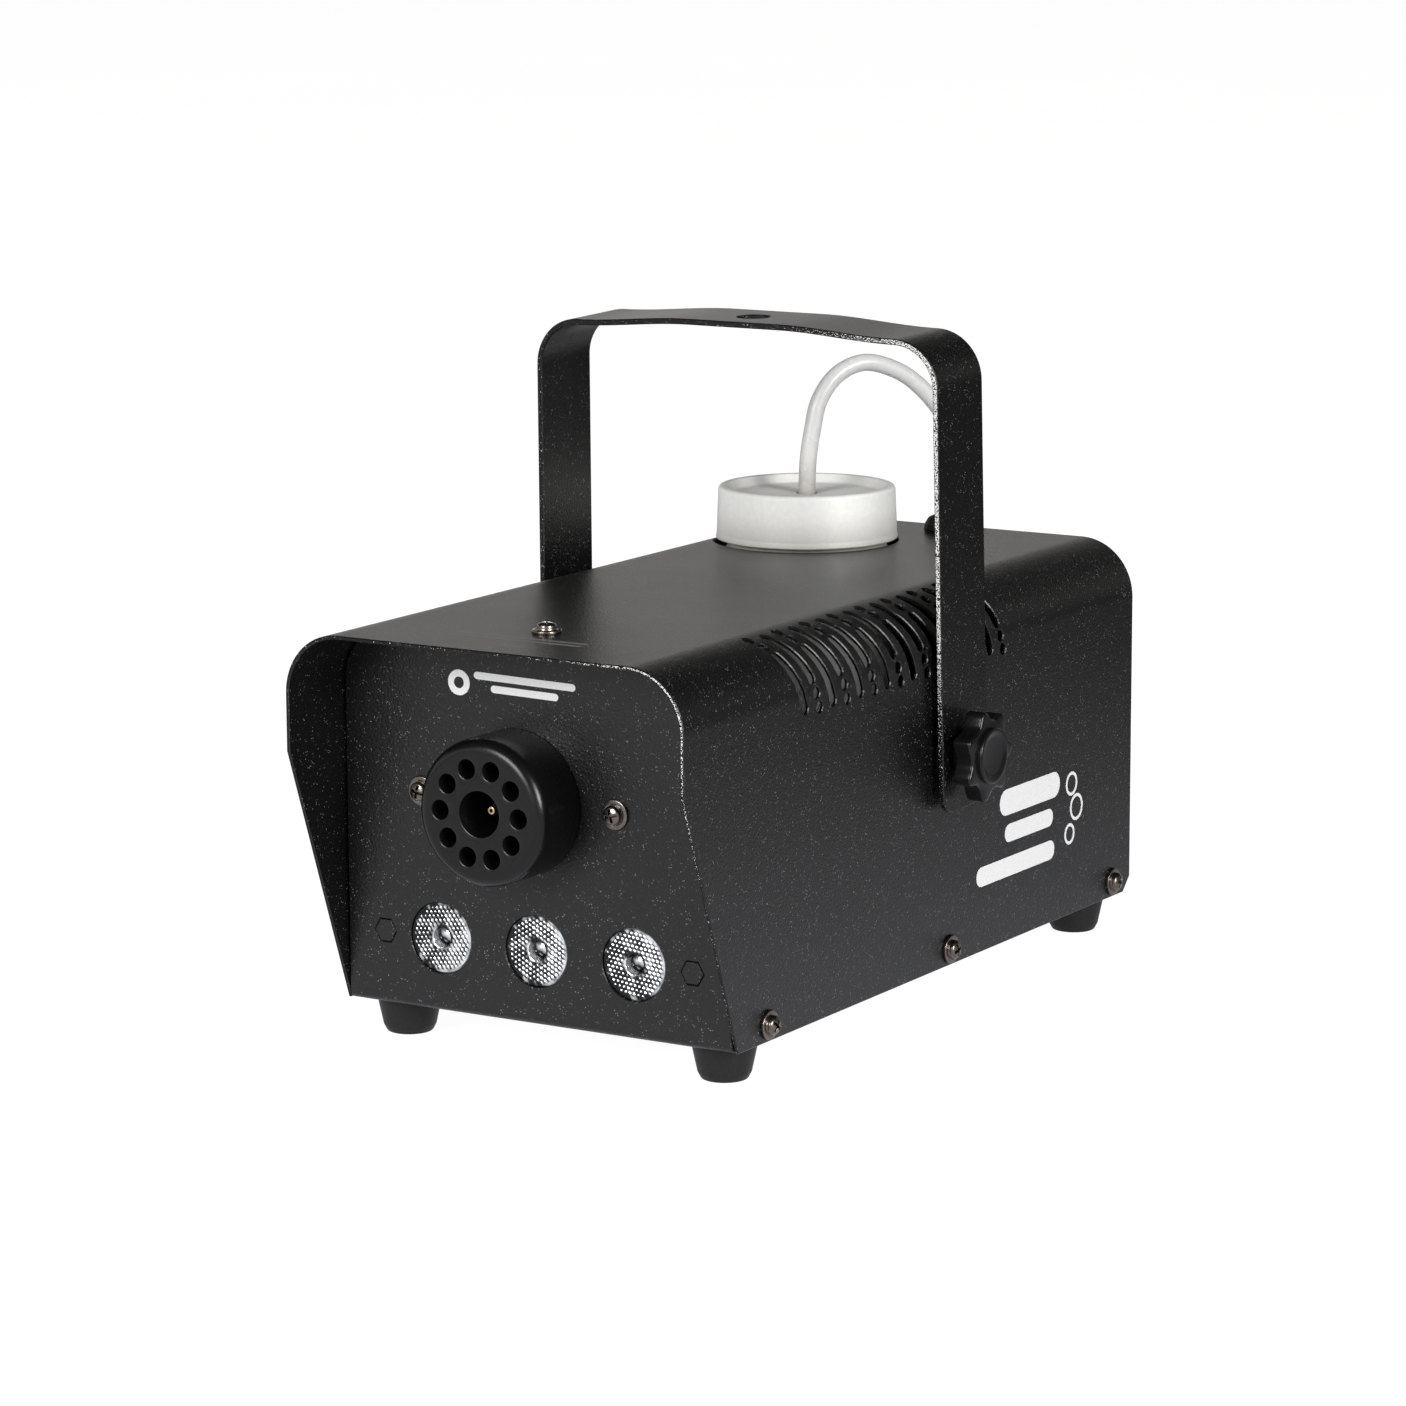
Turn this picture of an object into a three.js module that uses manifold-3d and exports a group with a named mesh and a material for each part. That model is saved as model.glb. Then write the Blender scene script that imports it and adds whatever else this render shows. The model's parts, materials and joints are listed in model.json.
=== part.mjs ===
// A small LED fog machine, in millimetres with +Z up.
// X runs left to right as seen from the front, the nozzle blows towards -Y, and the machine
// stands on the plane Z = 0. The origin is under the middle of the whole machine.
import * as THREE from "three";
import { mergeVertices } from "three/addons/utils/BufferGeometryUtils.js";
import Module from "manifold-3d";

const wasm = await Module();
wasm.setup();

// ---------- driving dimensions ----------

const WIDTH = 118; // cover, outside
const LENGTH = 240; // cover, hood edge to rear edge
const HEIGHT = 100; // cover alone, without the feet
const SHEET = 1; // thickness of the folded steel
const BEND_RADIUS = 16; // the cover's two long bends, outside
const FOOT_HEIGHT = 10;
const REAR_MOST = 243; // the remote socket's collar, the part that stands out furthest behind
const FIT = 0.1; // gap between parts that rest on each other
const SLIP = 0.3; // gap between the cover and the tray inside it

const FLOOR = FOOT_HEIGHT; // underside of the housing
const TOP = FOOT_HEIGHT + HEIGHT; // top face of the cover
const HALF_WIDTH = WIDTH / 2;

// hood: the sides' front edges are upright at the top and slope back to the front panel
const HOOD_BREAK_Z = FLOOR + 69;
const HOOD_FOOT_Y = 25;
const REAR_CORNER_CUT = 4;

const FRONT_FACE = 24; // outer face of the front panel
const REAR_FACE = 238; // outer face of the rear panel

const NOZZLE = { x: -5, z: FLOOR + 57.2 };
const NOZZLE_SCREW_SPREAD = 29.2;
const LED_PITCH = 29.1;
const LED_Z = FLOOR + 19.3;
const LED_HOLE_RADIUS = 9.3;
const STUD_X = 46.3;

const PIVOT = { y: 134.2, z: FLOOR + 57.9 }; // axis of the handle and its knobs
const HANDLE_TILT = THREE.MathUtils.degToRad(1.25); // at rest it leans a little forwards
const HANDLE_WIDTH = 125.5; // outside, at the pivot
const HANDLE_REACH = 112; // pivot to the top of the crossbar
const HANDLE_TAIL = 14.7; // pivot down to the end of a leg
const STRAP = { width: 24.2, thickness: 1.6, radius: 13, offset: 0.8 }; // middle behind the pivot

const BOTTLE = { x: -22, y: 197.4, radius: 25.5 };
const BOTTLE_HOLE = { x: -22.4, radius: 26.2 };
const GROMMET = { x: 3.5, y: 231.5 };
const TUBE_RADIUS = 2.42;
const TUBE_BORE = 1.4;
const TUBE_END_Z = FLOOR + 10; // lower end of the feed tube's slack inside the housing

const FOOT_X = 47.9;
const FOOT_Y = [36.8, 227];
const SIDE_SCREW_Y = [39.6, 133.9, 228.9];
const SIDE_SCREW_Z = FLOOR + 4.5;
const TOP_SCREW_Y = 30.5;
const FLANGE_HEIGHT = 12; // of the tray's side flanges

// vents: slanted columns of cuts over each bend, in two patterns that take turns
const VENT = {
  columns: 16,
  firstY: 53.8,
  pitch: 6.97,
  slant: 0.38,
  width: 3.1,
  middle: 16.4,
};
const VENT_CUTS = [
  [-13.3, -10.2],
  [-9.5, -6.4],
  [-5.6, 12.6],
];

const INLET = { x: 35, z: FLOOR + 31 };
const SWITCH = { x: 35, z: FLOOR + 72 };
const SOCKET = { x: -38, z: FLOOR + 72 };
const PUMP = { y: 146, z: FLOOR + 24 };

// ---------- geometry helpers ----------

// A closed geometry as a solid that can be joined and cut.
function solidOf(geometry) {
  const plain = geometry.index ? geometry.toNonIndexed() : geometry.clone();
  plain.deleteAttribute("normal");
  plain.deleteAttribute("uv");
  const merged = mergeVertices(plain, 1e-4);
  const mesh = new wasm.Mesh({
    numProp: 3,
    vertProperties: new Float32Array(merged.attributes.position.array),
    triVerts: new Uint32Array(merged.index.array),
  });
  return new wasm.Manifold(mesh);
}

function geometryOf(solid) {
  const mesh = solid.getMesh();
  const geometry = new THREE.BufferGeometry();
  geometry.setAttribute("position", new THREE.BufferAttribute(mesh.vertProperties, 3));
  geometry.setIndex(new THREE.BufferAttribute(mesh.triVerts, 1));
  const faceted = geometry.toNonIndexed();
  faceted.computeVertexNormals();
  return faceted;
}

function join(...geometries) {
  return geometryOf(geometries.map(solidOf).reduce((a, b) => a.add(b)));
}

function cut(geometry, ...tools) {
  return geometryOf(tools.map(solidOf).reduce((a, b) => a.subtract(b), solidOf(geometry)));
}

function common(a, b) {
  return geometryOf(solidOf(a).intersect(solidOf(b)));
}

function box([x0, x1], [y0, y1], [z0, z1]) {
  const geometry = new THREE.BoxGeometry(x1 - x0, y1 - y0, z1 - z0);
  return geometry.translate((x0 + x1) / 2, (y0 + y1) / 2, (z0 + z1) / 2);
}

// A body of revolution about +Z. The profile is [radius, height] points, counter-clockwise.
function turned(points, sides = 16) {
  const profile = points.map(([radius, height]) => new THREE.Vector2(radius, height));
  return new THREE.LatheGeometry(profile, sides).rotateX(Math.PI / 2);
}

// Ways to lay a body made along +Z on another axis.
const lay = {
  up: (geometry) => geometry,
  front: (geometry) => geometry.rotateX(Math.PI / 2),
  rear: (geometry) => geometry.rotateX(-Math.PI / 2),
  right: (geometry) => geometry.rotateY(Math.PI / 2),
  left: (geometry) => geometry.rotateY(-Math.PI / 2),
};

function rod(radius, [start, end], sides = 16) {
  const bar = new THREE.CylinderGeometry(radius, radius, end - start, sides);
  return bar.rotateX(Math.PI / 2).translate(0, 0, (start + end) / 2);
}

function rodX(radius, [x0, x1], y, z, sides) {
  return lay.right(rod(radius, [x0, x1], sides)).translate(0, y, z);
}

function rodY(radius, [y0, y1], x, z, sides) {
  return lay.rear(rod(radius, [y0, y1], sides)).translate(x, 0, z);
}

function rodZ(radius, [z0, z1], x, y, sides) {
  return rod(radius, [z0, z1], sides).translate(x, y, 0);
}

// A shape drawn in X and Z, as a plate between two values of Y.
function plate(shape, [y0, y1], curveSegments = 4) {
  const settings = { depth: y1 - y0, bevelEnabled: false, curveSegments };
  return new THREE.ExtrudeGeometry(shape, settings).rotateX(Math.PI / 2).translate(0, y1, 0);
}

// A polygon drawn in Y and Z, as a bar between two values of X.
function bar(points, [x0, x1]) {
  const shape = new THREE.Shape(points.map(([y, z]) => new THREE.Vector2(y, z)));
  const geometry = new THREE.ExtrudeGeometry(shape, { depth: x1 - x0, bevelEnabled: false });
  const axes = new THREE.Matrix4().makeBasis(
    new THREE.Vector3(0, 1, 0),
    new THREE.Vector3(0, 0, 1),
    new THREE.Vector3(1, 0, 0),
  );
  return geometry.applyMatrix4(axes).translate(x0, 0, 0);
}

function regularShape(radius, sides) {
  const corner = (i) => {
    const angle = (2 * Math.PI * i) / sides;
    return new THREE.Vector2(radius * Math.cos(angle), radius * Math.sin(angle));
  };
  return new THREE.Shape(Array.from({ length: sides }, (_, i) => corner(i)));
}

function pipe(path, radius, steps, sides = 8, bore = 0) {
  const shape = regularShape(radius, sides);
  if (bore > 0) shape.holes.push(regularShape(bore, 5));
  return new THREE.ExtrudeGeometry(shape, { steps, extrudePath: path, bevelEnabled: false });
}

function smoothPath(points) {
  const corners = points.map((point) => new THREE.Vector3(...point));
  return new THREE.CatmullRomCurve3(corners, false, "centripetal");
}

// The outline of a panel that fills the arch of the cover.
function archShape(halfWidth, radius, bottom, top) {
  const shape = new THREE.Shape();
  shape.moveTo(halfWidth, bottom);
  shape.lineTo(halfWidth, top - radius);
  shape.absarc(halfWidth - radius, top - radius, radius, 0, Math.PI / 2, false);
  shape.lineTo(-halfWidth + radius, top);
  shape.absarc(-halfWidth + radius, top - radius, radius, Math.PI / 2, Math.PI, false);
  shape.lineTo(-halfWidth, bottom);
  return shape;
}

// ---------- the model ----------

const machine = new THREE.Group();
const housing = new THREE.Group();
housing.position.y = -REAR_MOST / 2;
machine.add(housing);

const finishes = {
  powderCoat: { color: 0x2d2e30, roughness: 0.62, metalness: 0.1 },
  satinBlack: { color: 0x2a2b2d, roughness: 0.42, metalness: 0.3 },
  blackNickel: { color: 0x5a5450, roughness: 0.3, metalness: 0.9 },
  blackPlastic: { color: 0x1b1c1e, roughness: 0.5, metalness: 0 },
  rubber: { color: 0x191a1b, roughness: 0.85, metalness: 0 },
  milkyPlastic: { color: 0xe4e3df, roughness: 0.45, metalness: 0 },
  silicone: { color: 0xd9d9d4, roughness: 0.35, metalness: 0 },
  lens: { color: 0xe9edf0, roughness: 0.08, metalness: 0 },
  aluminium: { color: 0xb4b6b8, roughness: 0.45, metalness: 0.9 },
  steel: { color: 0x9a9c9e, roughness: 0.4, metalness: 0.9 },
  brass: { color: 0xb8954f, roughness: 0.35, metalness: 0.9 },
  copper: { color: 0xb06a44, roughness: 0.4, metalness: 0.9 },
  ceramicWool: { color: 0xe8e4da, roughness: 0.95, metalness: 0 },
  circuitBoard: { color: 0x1f5a37, roughness: 0.55, metalness: 0 },
  wire: { color: 0x8a2a22, roughness: 0.5, metalness: 0 },
};

function piece(name, finish, geometry, group = housing) {
  const mesh = new THREE.Mesh(geometry, new THREE.MeshStandardMaterial(finishes[finish]));
  mesh.name = name;
  group.add(mesh);
  return mesh;
}

// ---------- cover ----------

// Where a point of the cover's outer skin lies along the slope of a punch that works at 45
// degrees. along is the distance down the skin from where the bend starts on the top.
function slopePlace(along) {
  const angle = Math.min(along / BEND_RADIUS, Math.PI / 2);
  const below = Math.max(along - (BEND_RADIUS * Math.PI) / 2, 0);
  const x = BEND_RADIUS * Math.sin(angle);
  const z = BEND_RADIUS * Math.cos(angle) - below;
  return (x - z) / Math.SQRT2;
}

// A slanted bar that cuts one slot through a bend, at 45 degrees between the top and the side.
function ventCutter(side, from, to, columnY) {
  const slant = (along) => columnY + VENT.slant * (along - VENT.middle);
  const half = VENT.width / 2 / Math.cos(Math.atan(VENT.slant));
  const corners = [
    [slopePlace(from), slant(from) - half],
    [slopePlace(to), slant(to) - half],
    [slopePlace(to), slant(to) + half],
    [slopePlace(from), slant(from) + half],
  ];
  const shape = new THREE.Shape(corners.map(([slope, y]) => new THREE.Vector2(slope, side * y)));
  const punch = new THREE.ExtrudeGeometry(shape, { depth: 12, bevelEnabled: false });
  punch.translate(0, 0, BEND_RADIUS - 8).rotateY(Math.PI / 4);
  punch.translate(HALF_WIDTH - BEND_RADIUS, 0, TOP - BEND_RADIUS);
  return side > 0 ? punch : punch.rotateZ(Math.PI);
}

function ventCutters() {
  const cutters = [];
  for (let column = 0; column < VENT.columns; column += 1) {
    const flip = column % 2 === 0 ? 1 : -1;
    const y = VENT.firstY + column * VENT.pitch;
    for (const [start, end] of VENT_CUTS) {
      const ends = [flip * start, flip * end].sort((a, b) => a - b);
      for (const side of [1, -1]) {
        cutters.push(ventCutter(side, VENT.middle + ends[0], VENT.middle + ends[1], y));
      }
    }
  }
  return cutters;
}

function makeCover() {
  const outer = plate(archShape(HALF_WIDTH, BEND_RADIUS, FLOOR, TOP), [0, LENGTH]);
  const inner = plate(
    archShape(HALF_WIDTH - SHEET, BEND_RADIUS - SHEET, FLOOR - 1, TOP - SHEET),
    [-1, LENGTH + 1],
  );
  const across = [-HALF_WIDTH - 1, HALF_WIDTH + 1];
  const hoodSlope = bar(
    [
      [-2, FLOOR - 1],
      [HOOD_FOOT_Y, FLOOR - 1],
      [HOOD_FOOT_Y, FLOOR],
      [0, HOOD_BREAK_Z],
      [-2, HOOD_BREAK_Z],
    ],
    across,
  );
  const rearCorner = bar(
    [
      [LENGTH - REAR_CORNER_CUT - 1, FLOOR - 1],
      [LENGTH + 1, FLOOR - 1],
      [LENGTH + 1, FLOOR + REAR_CORNER_CUT + 1],
    ],
    across,
  );
  const holes = [
    rodZ(BOTTLE_HOLE.radius, [TOP - 4, TOP + 4], BOTTLE_HOLE.x, BOTTLE.y, 40),
    rodZ(4.5, [TOP - 4, TOP + 4], GROMMET.x, GROMMET.y),
    rodZ(1.8, [TOP - 4, TOP + 4], 0, TOP_SCREW_Y, 10),
    ...SIDE_SCREW_Y.map((y) => rodX(1.8, across, y, SIDE_SCREW_Z, 10)),
  ];
  const shell = cut(outer, inner, hoodSlope, rearCorner, ...holes, ...ventCutters());
  const wall = HALF_WIDTH - SHEET / 2;
  const nuts = [wall - 6.5, -wall].map((x) => rodX(5.5, [x, x + 6.5], PIVOT.y, PIVOT.z, 6));
  return cut(join(shell, ...nuts), rodX(3.3, across, PIVOT.y, PIVOT.z));
}

piece("cover", "powderCoat", makeCover());

// ---------- base tray: front panel, floor, rear panel and side flanges in one fold ----------

const TRAY_HALF = HALF_WIDTH - SHEET - SLIP;
const TRAY_TOP = TOP - SHEET - SLIP;

function makeTray() {
  const outline = archShape(TRAY_HALF, BEND_RADIUS - SHEET - SLIP, FLOOR, TRAY_TOP);
  const floor = box([-TRAY_HALF, TRAY_HALF], [FRONT_FACE, REAR_FACE], [FLOOR, FLOOR + SHEET]);
  const flange = (x0) =>
    box([x0, x0 + SHEET], [FRONT_FACE, REAR_FACE], [FLOOR, FLOOR + FLANGE_HEIGHT]);
  const topTab = box([-12, 12], [FRONT_FACE, FRONT_FACE + 16], [TRAY_TOP - SHEET, TRAY_TOP]);
  const folded = join(
    floor,
    plate(outline, [FRONT_FACE, FRONT_FACE + SHEET]),
    plate(outline, [REAR_FACE - SHEET, REAR_FACE]),
    flange(-TRAY_HALF),
    flange(TRAY_HALF - SHEET),
    topTab,
  );
  const throughFront = [FRONT_FACE - 1, FRONT_FACE + SHEET + 1];
  const throughRear = [REAR_FACE - SHEET - 1, REAR_FACE + 1];
  const frontHoles = [
    rodY(6.5, throughFront, NOZZLE.x, NOZZLE.z),
    ...[-1, 1].map((s) => rodY(1.8, throughFront, NOZZLE.x + s * NOZZLE_SCREW_SPREAD, NOZZLE.z, 10)),
    ...[-1, 0, 1].map((s) => rodY(LED_HOLE_RADIUS, throughFront, s * LED_PITCH, LED_Z, 20)),
    ...[-1, 1].map((s) => rodY(3.4, throughFront, s * STUD_X, LED_Z, 6)),
  ];
  const rearHoles = [
    box([INLET.x - 13.7, INLET.x + 13.7], throughRear, [INLET.z - 16.9, INLET.z + 16.9]),
    box([SWITCH.x - 6.6, SWITCH.x + 6.6], throughRear, [SWITCH.z - 9.7, SWITCH.z + 9.7]),
    rodY(7.9, throughRear, SOCKET.x, SOCKET.z),
  ];
  const footHoles = FOOT_Y.flatMap((y) =>
    [-FOOT_X, FOOT_X].map((x) => rodZ(1.8, [FLOOR - 1, FLOOR + SHEET + 1], x, y, 10)),
  );
  const screwHoles = [
    ...SIDE_SCREW_Y.map((y) => rodX(1.7, [-HALF_WIDTH, HALF_WIDTH], y, SIDE_SCREW_Z, 10)),
    rodZ(1.7, [TRAY_TOP - 3, TRAY_TOP + 1], 0, TOP_SCREW_Y, 10),
  ];
  return cut(folded, ...frontHoles, ...rearHoles, ...footHoles, ...screwHoles);
}

piece("base_tray", "powderCoat", makeTray());

// ---------- screws ----------

// A pan head screw with a pressed washer and a cross recess, head towards +Z.
function makeScrew() {
  const body = turned(
    [
      [0, -6],
      [1.4, -5.4],
      [1.4, 0],
      [3.85, 0],
      [3.85, 0.7],
      [3, 1],
      [2.3, 2.5],
      [0, 2.7],
    ],
    10,
  );
  const slot = [-1.9, 1.9];
  const thin = [-0.4, 0.4];
  const depth = [1.3, 3.2];
  return cut(body, box(slot, thin, depth), box(thin, slot, depth));
}

const screw = makeScrew();

function placeScrew(name, direction, x, y, z) {
  piece(name, "blackNickel", lay[direction](screw.clone())).position.set(x, y, z);
}

SIDE_SCREW_Y.forEach((y, i) => {
  const place = ["front", "middle", "rear"][i];
  placeScrew(`side_screw_right_${place}`, "right", HALF_WIDTH + FIT, y, SIDE_SCREW_Z);
  placeScrew(`side_screw_left_${place}`, "left", -HALF_WIDTH - FIT, y, SIDE_SCREW_Z);
});
placeScrew("top_screw", "up", 0, TOP_SCREW_Y, TOP + FIT);
for (const [side, name] of [
  [-1, "left"],
  [1, "right"],
]) {
  const x = NOZZLE.x + side * NOZZLE_SCREW_SPREAD;
  placeScrew(`nozzle_screw_${name}`, "front", x, FRONT_FACE - FIT, NOZZLE.z);
}

// ---------- feet ----------

const footProfile = [
  [3.4, 0],
  [5.4, 0],
  [6.4, 0.6],
  [6.9, 1.8],
  [8.6, FOOT_HEIGHT - FIT],
  [1.8, FOOT_HEIGHT - FIT],
  [1.8, 5],
  [3.4, 5],
  [3.4, 0],
];
const footScrewProfile = [
  [0, 1.6],
  [2.2, 1.6],
  [3, 2.4],
  [3, 4.9],
  [1.5, 4.9],
  [1.5, FLOOR + 6],
  [0, FLOOR + 6],
];

FOOT_Y.forEach((y, row) => {
  for (const side of [-1, 1]) {
    const place = `${["front", "rear"][row]}_${side < 0 ? "left" : "right"}`;
    piece(`foot_${place}`, "rubber", turned(footProfile)).position.set(side * FOOT_X, y, 0);
    const fixing = piece(`foot_screw_${place}`, "steel", turned(footScrewProfile, 10));
    fixing.position.set(side * FOOT_X, y, 0);
  }
});

// ---------- nozzle and heater ----------

const GUARD = { radius: 18.9, length: 17.5, bore: 5.85, holes: 10, holeRadius: 2.45, ring: 11.7 };

function makeNozzleGuard() {
  const body = turned(
    [
      [GUARD.bore, FIT],
      [GUARD.radius, FIT],
      [GUARD.radius, GUARD.length - 3],
      [GUARD.radius - 0.9, GUARD.length - 0.9],
      [GUARD.radius - 3, GUARD.length],
      [GUARD.bore, GUARD.length],
      [GUARD.bore, FIT],
    ],
    28,
  );
  const holes = [];
  for (let i = 0; i < GUARD.holes; i += 1) {
    const angle = (2 * Math.PI * (i + 0.5)) / GUARD.holes;
    const x = GUARD.ring * Math.sin(angle);
    const y = GUARD.ring * Math.cos(angle);
    holes.push(rodZ(GUARD.holeRadius, [-1, GUARD.length + 1], x, y, 8));
  }
  return lay.front(cut(body, ...holes)).translate(NOZZLE.x, FRONT_FACE, NOZZLE.z);
}

piece("nozzle_guard", "satinBlack", makeNozzleGuard());

const tipProfile = [
  [0.5, -5],
  [4, -5],
  [4, 4],
  [1.4, 9.5],
  [1, 12],
  [0.5, 12],
  [0.5, -5],
];
piece("nozzle_tip", "brass", lay.front(turned(tipProfile, 12))).position.set(
  NOZZLE.x,
  FRONT_FACE,
  NOZZLE.z,
);

const BLOCK = { front: 36, rear: 116, radius: 18 };
const JACKET = { front: 40, rear: 112, radius: 26 };

piece(
  "heater_block",
  "aluminium",
  cut(
    join(
      rodY(BLOCK.radius, [BLOCK.front, BLOCK.rear], NOZZLE.x, NOZZLE.z, 24),
      rodY(5.5, [FRONT_FACE + 5 + FIT, BLOCK.front + 1], NOZZLE.x, NOZZLE.z),
    ),
    rodY(1.5, [FRONT_FACE, BLOCK.rear + 1], NOZZLE.x, NOZZLE.z, 8),
  ),
);
piece(
  "insulation_jacket",
  "ceramicWool",
  cut(
    rodY(JACKET.radius, [JACKET.front, JACKET.rear], NOZZLE.x, NOZZLE.z, 24),
    rodY(BLOCK.radius + SLIP, [JACKET.front - 1, JACKET.rear + 1], NOZZLE.x, NOZZLE.z, 24),
  ),
);

function makeFrontBracket() {
  const back = FRONT_FACE + SHEET;
  const face = box(
    [NOZZLE.x - 35, NOZZLE.x + 35],
    [back + 2, back + 3.5],
    [NOZZLE.z - 13, NOZZLE.z + 13],
  );
  const parts = [face];
  const bores = [rodY(7, [back, BLOCK.front], NOZZLE.x, NOZZLE.z)];
  for (const side of [-1, 1]) {
    const bossX = NOZZLE.x + side * NOZZLE_SCREW_SPREAD;
    const legX = NOZZLE.x + side * 12.5;
    parts.push(rodY(3.6, [back + FIT, back + 3], bossX, NOZZLE.z, 12));
    parts.push(rodY(2.5, [back + 3, BLOCK.front - FIT], legX, NOZZLE.z, 10));
    bores.push(rodY(1.7, [back - 1, back + 5], bossX, NOZZLE.z, 10));
  }
  return cut(join(...parts), ...bores);
}

function makeRearBracket() {
  const face = [BLOCK.rear + FIT, BLOCK.rear + FIT + 1.5];
  const [low, high] = [FLOOR + SHEET + FIT, NOZZLE.z + 19];
  const upright = box([NOZZLE.x - 19, NOZZLE.x + 19], face, [low, high]);
  const foot = box([NOZZLE.x - 19, NOZZLE.x + 19], [face[0], face[0] + 9], [low, low + 1.5]);
  const window = rodY(15.6, [face[0] - 1, face[1] + 1], NOZZLE.x, NOZZLE.z, 20);
  return cut(join(upright, foot), window);
}

piece("heater_bracket_front", "steel", makeFrontBracket());
piece("heater_bracket_rear", "steel", makeRearBracket());

const SENSOR_OFFSET = 9.2;
const blockBack = BLOCK.rear + FIT;
piece(
  "thermostat",
  "blackPlastic",
  join(
    rodY(5.8, [blockBack, blockBack + 5], NOZZLE.x, NOZZLE.z + SENSOR_OFFSET, 14),
    box(
      [NOZZLE.x - 3, NOZZLE.x + 3],
      [blockBack + 4, blockBack + 8],
      [NOZZLE.z + SENSOR_OFFSET - 2, NOZZLE.z + SENSOR_OFFSET + 2],
    ),
  ),
);
piece(
  "thermal_cutout",
  "steel",
  rodY(5, [blockBack, blockBack + 6], NOZZLE.x, NOZZLE.z - SENSOR_OFFSET, 12),
);

// ---------- pump ----------

const BARREL = { left: -22, right: 40, radius: 7, bore: 4.3 };
const NIPPLE = { left: -31, right: 45, radius: 3, bore: 1.3 };

piece(
  "pump_body",
  "steel",
  cut(
    join(
      box([-8, 31], [PUMP.y - 16, PUMP.y + 16], [PUMP.z - 16, PUMP.z + 16]),
      rodX(BARREL.radius, [BARREL.left, BARREL.right], PUMP.y, PUMP.z),
      rodX(NIPPLE.radius, [NIPPLE.left, NIPPLE.right], PUMP.y, PUMP.z, 10),
    ),
    rodX(BARREL.bore, [BARREL.left + 4, BARREL.right - 4], PUMP.y, PUMP.z),
    rodX(NIPPLE.bore, [NIPPLE.left - 1, NIPPLE.right + 1], PUMP.y, PUMP.z, 8),
  ),
);
piece("pump_plunger", "steel", rodX(4, [-10, 26], PUMP.y, PUMP.z, 16));

function makePumpBracket() {
  const base = FLOOR + SHEET + FIT;
  const depth = [PUMP.y - 12, PUMP.y + 12];
  const upright = (x) => box([x, x + 1.2], depth, [base, PUMP.z + 11]);
  return cut(
    join(box([-10.4, 34.4], depth, [base, base + 1.2]), upright(-10.4), upright(33.2)),
    rodX(BARREL.radius + SLIP, [-12, 36], PUMP.y, PUMP.z),
  );
}

piece("pump_bracket", "steel", makePumpBracket());

piece(
  "heater_feed_pipe",
  "copper",
  pipe(
    smoothPath([
      [NIPPLE.left - FIT, PUMP.y, PUMP.z],
      [-33, PUMP.y, PUMP.z],
      [-39, PUMP.y, PUMP.z + 2],
      [-43, PUMP.y - 1, PUMP.z + 9],
      [-38, PUMP.y - 7, NOZZLE.z - 8],
      [-22, PUMP.y - 13, NOZZLE.z],
      [NOZZLE.x - 3, PUMP.y - 19, NOZZLE.z],
      [NOZZLE.x, blockBack + 6, NOZZLE.z],
      [NOZZLE.x, blockBack, NOZZLE.z],
    ]),
    1.6,
    20,
    6,
  ),
);
piece(
  "pump_inlet_tube",
  "silicone",
  pipe(
    smoothPath([
      [NIPPLE.right + FIT, PUMP.y, PUMP.z],
      [47, PUMP.y, PUMP.z],
      [50, PUMP.y + 3, PUMP.z],
      [51, PUMP.y + 10, PUMP.z - 2],
      [49, PUMP.y + 35, FLOOR + 14],
      [32, PUMP.y + 62, FLOOR + 5],
      [16, GROMMET.y - 2, FLOOR + 4],
      [GROMMET.x + 1, GROMMET.y, FLOOR + 4.6],
      [GROMMET.x, GROMMET.y, TUBE_END_Z - 3],
      [GROMMET.x, GROMMET.y, TUBE_END_Z - SLIP],
    ]),
    TUBE_RADIUS,
    20,
  ),
);

// ---------- bottle, cap and feed tube ----------

const BOTTLE_BASE = FLOOR + 3.5;
const NECK = { radius: 22.3, bore: 20.6, top: TOP + 10 };
const CAP = { base: TOP + 0.6, bottomRadius: 25.65, topRadius: 24.8, top: TOP + 15.4 };
CAP.floor = CAP.top - 2.4;

function placeOnBottleAxis(name, finish, profile, sides) {
  piece(name, finish, turned(profile, sides)).position.set(BOTTLE.x, BOTTLE.y, 0);
}

const bottleWall = 1.3;
placeOnBottleAxis(
  "bottle",
  "milkyPlastic",
  [
    [0, BOTTLE_BASE],
    [BOTTLE.radius - 3, BOTTLE_BASE],
    [BOTTLE.radius, BOTTLE_BASE + 3],
    [BOTTLE.radius, TOP - 6],
    [NECK.radius, TOP - 1.5],
    [NECK.radius, NECK.top],
    [NECK.bore, NECK.top],
    [NECK.bore, TOP - 2],
    [BOTTLE.radius - bottleWall, TOP - 7],
    [BOTTLE.radius - bottleWall, BOTTLE_BASE + 4],
    [BOTTLE.radius - 5, BOTTLE_BASE + bottleWall],
    [0, BOTTLE_BASE + bottleWall],
  ],
  24,
);
placeOnBottleAxis(
  "bottle_cap",
  "milkyPlastic",
  [
    [NECK.radius + 0.7, CAP.base],
    [CAP.bottomRadius, CAP.base],
    [CAP.topRadius + 0.1, CAP.top - 1.8],
    [CAP.topRadius - 0.6, CAP.top - 0.4],
    [CAP.topRadius - 1.7, CAP.top],
    [CAP.topRadius - 2.9, CAP.top - 0.5],
    [CAP.topRadius - 4.6, CAP.floor],
    [TUBE_RADIUS + SLIP, CAP.floor],
    [TUBE_RADIUS + SLIP, CAP.floor - 1.5],
    [NECK.radius + 0.7, CAP.floor - 1.5],
    [NECK.radius + 0.7, CAP.base],
  ],
  28,
);
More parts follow.
